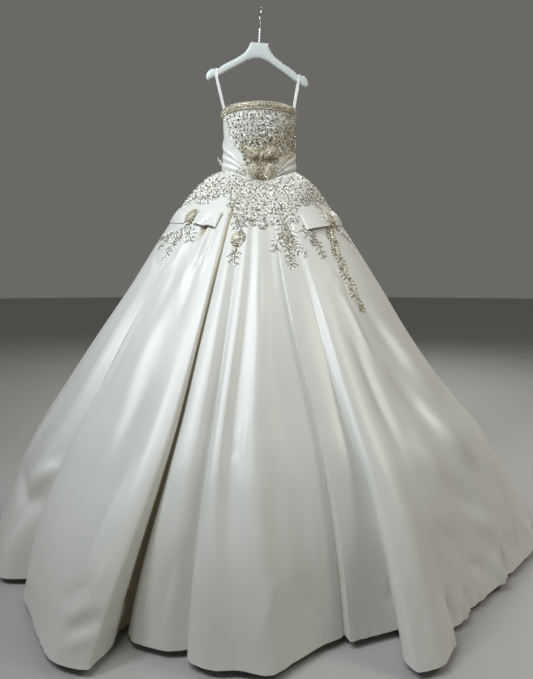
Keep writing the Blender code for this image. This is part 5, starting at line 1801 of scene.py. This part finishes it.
def build_streamer(field, beads):
    """The garland that falls from the right hip bow: a swaying string of beads, leaves and
    tipped picots on both sides, and flowers."""
    store = []
    angle, height = np.array(STREAMER).T
    way = np.linspace(0, 1, STREAMER_STEPS)
    angle = np.interp(way, np.linspace(0, 1, len(angle)), angle)
    height = np.interp(way, np.linspace(0, 1, len(height)), height)
    reach = np.interp(-height, -field.level, field.reach)
    half = STREAMER_HALF_WIDTH * np.minimum(1.0, 1.3 * np.sin(np.pi * (0.1 + 0.84 * way)) ** 0.5)
    sway = np.degrees(STREAMER_SWAY * np.sin(9 * np.pi * way) / reach)
    blade = Motif(np.array([(0, 0, 0, 0.0115)]), *(np.array([(0, -0.0075, 0.0026)]),) * 2)
    tips = flower(0.0030, 3)
    for k, side in enumerate((-1, 1)):
        some = slice(k, None, 2)
        turn = np.degrees(side * half * 0.55 / reach) + sway
        place_at = (angle + turn)[some], height[some]
        lay_motif(store, field, blade, *place_at, 180 - 58 * side, 1.0, 1, 130 + k)
        turn = np.degrees(side * half * 1.02 / reach) + sway
        place_at = (angle + turn)[some], height[some] - 0.004
        lay_motif(store, field, tips, *place_at, 180 - 90 * side, 1.0, 1, 132 + k)
    pair = np.array([(0, 0, STREAMER_BEAD), (0, 0.0033, STREAMER_BEAD)])
    stem = Motif(np.zeros((0, 4)), pair, np.zeros((0, 3)))
    lay_motif(store, field, stem, angle + sway, height, 0, 1.0, 1, 136)
    some = slice(None, None, STREAMER_FLOWER_STEPS)
    aside = np.degrees(STREAMER_FLOWER_ASIDE * np.array([1, -1] * 5) / reach[some])
    rose = flower(0.0085, 6)
    lay_motif(store, field, rose, angle[some] + aside, height[some] - 0.012, 180, 1.0, 1, 134)
    curl = scroll(0.013, 1.2, 0.0050)
    lay_motif(store, field, curl, angle[some] - aside, height[some], 90, 1.0, 1, 135)
    sewn_piece("streamer_beading", store, beads)


def build_band_beads(field, beads):
    """Rows of crystals, seed beads and slanted tube beads round the neckline's band."""
    store = []
    random = np.random.default_rng(7)

    def surface(angle, height):
        """Points of the band's outer face."""
        base = on_dress(field, angle, height)
        share = np.clip((NECKLINE_HEIGHT - height) / BAND_HEIGHT, 0, 1)
        return base + level_out(base) * (BAND_LIFT + band_arch(share))[..., None]

    # Share of the way down the band, number of beads, their shape, size and lean in degrees
    rows = (
        (0.06, 270, SEED, 0.0028, 0), (0.20, 216, BUGLE, 0.0052, 35), (0.36, 250, SEED, 0.0031, 0),
        (0.50, 160, CRYSTAL, 0.0046, 0), (0.64, 250, SEED, 0.0031, 0),
        (0.80, 216, BUGLE, 0.0052, -35), (0.94, 270, SEED, 0.0028, 0),
    )
    for share, count, shape, size, lean in rows:
        angle = (np.arange(count) + random.uniform(-0.12, 0.12, count)) / count * 2 * np.pi - np.pi
        height = NECKLINE_HEIGHT - BAND_HEIGHT * share + random.uniform(-0.0004, 0.0004, count)
        wide = size * (0.42 if shape is BUGLE else 1.0)
        tone = random.uniform(0.1, 1.0, count)
        turn = np.radians(lean) + 0 * angle
        spots = frames(surface, angle, height)
        sew(store, shape, spots, turn, size, wide, wide * 0.8, tone)
    sewn_piece("neckline_band_beads", store, beads)


# Beads on the padded lobes: their size, the way between rings and between leaves on the rim,
# and the width of the light and dark stripes
PAD_BEAD = 0.0031
PAD_BEAD_THICKNESS = 0.0020
PAD_RING_PITCH = 0.0030
PAD_LEAF_PITCH = 0.0046
PAD_STRIPE = 0.0085


def build_pad_beads(field, pads, name, beads, seed):
    """Beads in rings over the padded lobes, with a row of leaves round each edge."""
    store = []
    random = np.random.default_rng(seed)
    for pad in pads:
        surface = pad_surface(field, pad)
        rings = max(int(pad.half_width / PAD_RING_PITCH), 2)
        for ring, reach in enumerate(np.linspace(0.12, 0.97, rings)):
            round_way = 2 * np.pi * reach * (pad.half_width + pad.half_height) / 2
            count = max(int(round_way / PAD_BEAD), 4)
            turn = (np.arange(count) + 0.5 * (ring % 2)) / count * 2 * np.pi
            along = pad.half_width * reach * np.cos(turn)
            up = pad.half_height * reach * np.sin(turn)
            step = 0.0008
            spot = surface(along, up)
            across = unit(surface(along + step, up) - surface(along - step, up))
            rise = surface(along, up + step) - surface(along, up - step)
            out = unit(np.cross(across, rise))
            place_on = (spot, across, unit(np.cross(out, across)), out)
            if "tail" in pad.name:
                stripe = 0.5 + 0.5 * np.cos(3 * np.pi * np.cos(turn) * reach)
            else:
                stripe = 0.5 + 0.5 * np.cos(2 * np.pi * (1 - reach) * pad.half_width / PAD_STRIPE)
            tone = 0.16 + 0.42 * stripe + random.uniform(-0.1, 0.35, count)
            sew(store, SEED, place_on, 0 * turn, PAD_BEAD, PAD_BEAD, PAD_BEAD_THICKNESS, tone)
        count = int(np.pi * (pad.half_width + pad.half_height) / PAD_LEAF_PITCH)
        turn = np.arange(count) / count * 2 * np.pi
        rim = pad.half_width * np.cos(turn), pad.half_height * np.sin(turn)
        spot = surface(*[0.99 * r for r in rim])
        out = unit(spot - surface(*[0.99 * r for r in rim], -0.002 + 0 * turn))
        raised = 0.002 + 0 * turn
        ahead = unit(surface(*[1.02 * r for r in rim], raised) - surface(*rim, raised))
        across = unit(np.cross(ahead, out))
        place_on = (spot, across, unit(np.cross(out, across)), out)
        tone = random.uniform(0.1, 1.0, count)
        sew(store, LEAF, place_on, 0 * turn, 0.0092, 0.0044, 0.0018, tone)
    sewn_piece(name, store, beads)


# The side twig: its place on the dress, its direction, length and number of seed beads, and the
# way along it and the turn in degrees of each leaf
SIDE_TWIG_ANGLE = -84.0
SIDE_TWIG_HEIGHT = 1.243
SIDE_TWIG_AHEAD = (-0.52, -0.18, 0.84)
SIDE_TWIG_LENGTH = 0.030
SIDE_TWIG_SEEDS = 13
SIDE_TWIG_LEAVES = (
    (0.010, -50), (0.012, 50), (0.018, -45), (0.020, 45), (0.026, -40), (0.0335, 0),
)


def build_side_twig(field, beads):
    """A twig of beads on stiff thread that stands off the left side above the waist: seeds
    along a straight thread and leaves in pairs, all in a plane that faces the front."""
    store = []
    foot = on_dress(field, np.radians([SIDE_TWIG_ANGLE]), np.array([SIDE_TWIG_HEIGHT]))[0]
    foot = foot + (-0.001, -0.002, 0)
    ahead = unit(np.array(SIDE_TWIG_AHEAD))
    across = unit(np.cross(ahead, (0, -1, 0.1)))
    out = np.cross(across, ahead)

    def place_at(way, aside):
        """Places in the twig's plane at ways along it and aside."""
        spots = foot + ahead * way[:, None] + across * aside[:, None]
        return [spots] + [np.repeat(v[None], len(way), axis=0) for v in (across, ahead, out)]

    way = np.linspace(0, SIDE_TWIG_LENGTH, SIDE_TWIG_SEEDS)
    sew(store, SEED, place_at(way, 0 * way), 0 * way, 0.0030, 0.0028, 0.0026, 0.8)
    way, turn = np.array(SIDE_TWIG_LEAVES).T
    turn = np.radians(turn)
    aside = 0.0036 * np.sin(turn) / np.sin(np.radians(50))
    sew(store, LEAF, place_at(way, aside), turn, 0.0078, 0.0034, 0.0018, 0.9)
    sewn_piece("side_twig", store, beads)


FLOOR_RADIUS = 30
FLOOR_DROP = 0.02
FLOOR_RINGS = 24
FLOOR_SECTORS = 72


def build_floor():
    """A round plain floor just below the hem: rings of points from the middle out."""
    ring = np.linspace(0, 1, FLOOR_RINGS)[:, None] ** 2 * FLOOR_RADIUS + 0.01
    turn = np.linspace(0, 2 * np.pi, FLOOR_SECTORS + 1)[None, :]
    level = 0 * ring * turn - HOOK_TO_HEM - FLOOR_DROP
    points = np.stack([ring * np.sin(turn), -ring * np.cos(turn), level], axis=-1)
    faces = [grid_quads(np.arange(level.size).reshape(level.shape))]
    floor = add_piece("studio_floor", points.reshape(-1, 3), faces, pale_floor(), closed=False)
    floor.parent = None
    del floor["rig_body"]


Light = namedtuple("Light", "name spot aim size power colour spread")
# A cool key from the upper left, one in front, a warm fill from the right and one behind
LIGHTS = (
    Light("key", (-1.55, -1.2, 0.85), (0.35, 0, -0.55), (0.5, 1.6), 17, "#E6F0FA", 95),
    Light("front", (-0.5, -1.5, 0.7), (0, 0, -0.8), (0.9, 0.6), 18, "#F4F8FC", 180),
    Light("fill", (2.4, -0.7, 0.75), (0.3, 0, -0.8), (0.7, 1.4), 27, "#FBF6EC", 180),
    Light("back", (0.6, 3.2, 1.6), (0, 0, -1.2), (2.4, 1.6), 70, "#FFFFFF", 180),
)
WORLD_COLOUR = "#D8D6D0"
WORLD_STRENGTH = 0.21


def add_area_light(name, spot, aim, size, power, colour, spread):
    """A rectangular soft light at a spot, turned to face its aim."""
    light = bpy.data.lights.new(name, "AREA")
    light.spread = np.radians(spread)
    light.shape = "RECTANGLE"
    light.size, light.size_y = size
    light.energy = power
    light.color = hex_linear(colour)[:3]
    made = bpy.data.objects.new(name, light)
    bpy.context.scene.collection.objects.link(made)
    ahead = np.array(aim, float) - spot
    turn = Vector(ahead).to_track_quat("-Z", "Y")
    made.location = spot
    made.rotation_euler = turn.to_euler()


def build_studio():
    """Soft studio light from four sides, and a plain grey surround."""
    for light in LIGHTS:
        add_area_light(*light)
    world = bpy.data.worlds.new("studio")
    world.use_nodes = True
    background = world.node_tree.nodes["Background"]
    background.inputs["Color"].default_value = hex_linear(WORLD_COLOUR)
    background.inputs["Strength"].default_value = WORLD_STRENGTH
    bpy.context.scene.world = world
    bpy.context.scene.view_settings.view_transform = "Standard"


# The photograph's camera: its place, how far it looks down in degrees, and its focal length and
# shift in pixels of a picture of this height
CAMERA_PLACE = (-0.0094, -1.93, 0.82 - HOOK_TO_HEM)
CAMERA_PITCH = 6.3
PHOTO_HEIGHT = 679
FOCAL_LENGTH = 510
PHOTO_SHIFT = 8.5
SENSOR_WIDTH = 36.0


def build_camera():
    """The photograph's camera: just in front of the hem's sweep, looking a little down."""
    camera = bpy.data.cameras.new("photo_camera")
    camera.sensor_width = SENSOR_WIDTH
    camera.lens = SENSOR_WIDTH * FOCAL_LENGTH / PHOTO_HEIGHT
    camera.shift_x = PHOTO_SHIFT / PHOTO_HEIGHT
    camera.clip_start, camera.clip_end = 0.05, 100
    made = bpy.data.objects.new("photo_camera", camera)
    made.location = CAMERA_PLACE
    made.rotation_euler = (np.radians(90 - CAMERA_PITCH), 0, 0)
    bpy.context.scene.collection.objects.link(made)
    bpy.context.scene.camera = made


def main():
    """Builds every piece of the dressed part, the studio and the camera."""
    satin, net, ribbon = duchess_satin(), beaded_net(), satin_ribbon()
    skirt, drop = build_skirt(satin)
    bodice = build_bodice(satin)
    field = dress_field(bodice, skirt, drop)
    build_band(field, net)
    for drape in DRAPES:
        build_drape(field, drape, satin)
    for bow in HIP_BOWS:
        build_hip_bow(field, bow, satin)
    for pad in (*WAIST_BOW, *HIP_KNOTS):
        build_pad(field, pad, net)
    for side, sign in (("left", -1), ("right", 1)):
        build_ribbon(side, sign, ribbon)
    build_hanger(moulded_hanger())
    build_hook(drawn_steel())
    silver = lined_beads("silver_lined_clear_beads", SILVER)
    champagne = lined_beads("silver_lined_champagne_beads", CHAMPAGNE)
    build_yoke(field, silver)
    build_heart(field, silver, champagne)
    build_sprays(field, silver, champagne)
    build_streamer(field, champagne)
    build_side_twig(field, silver)
    build_band_beads(field, champagne)
    build_pad_beads(field, WAIST_BOW, "waist_bow_beads", champagne, 51)
    build_pad_beads(field, HIP_KNOTS, "hip_knot_beads", champagne, 52)
    build_floor()
    build_studio()
    build_camera()


main()
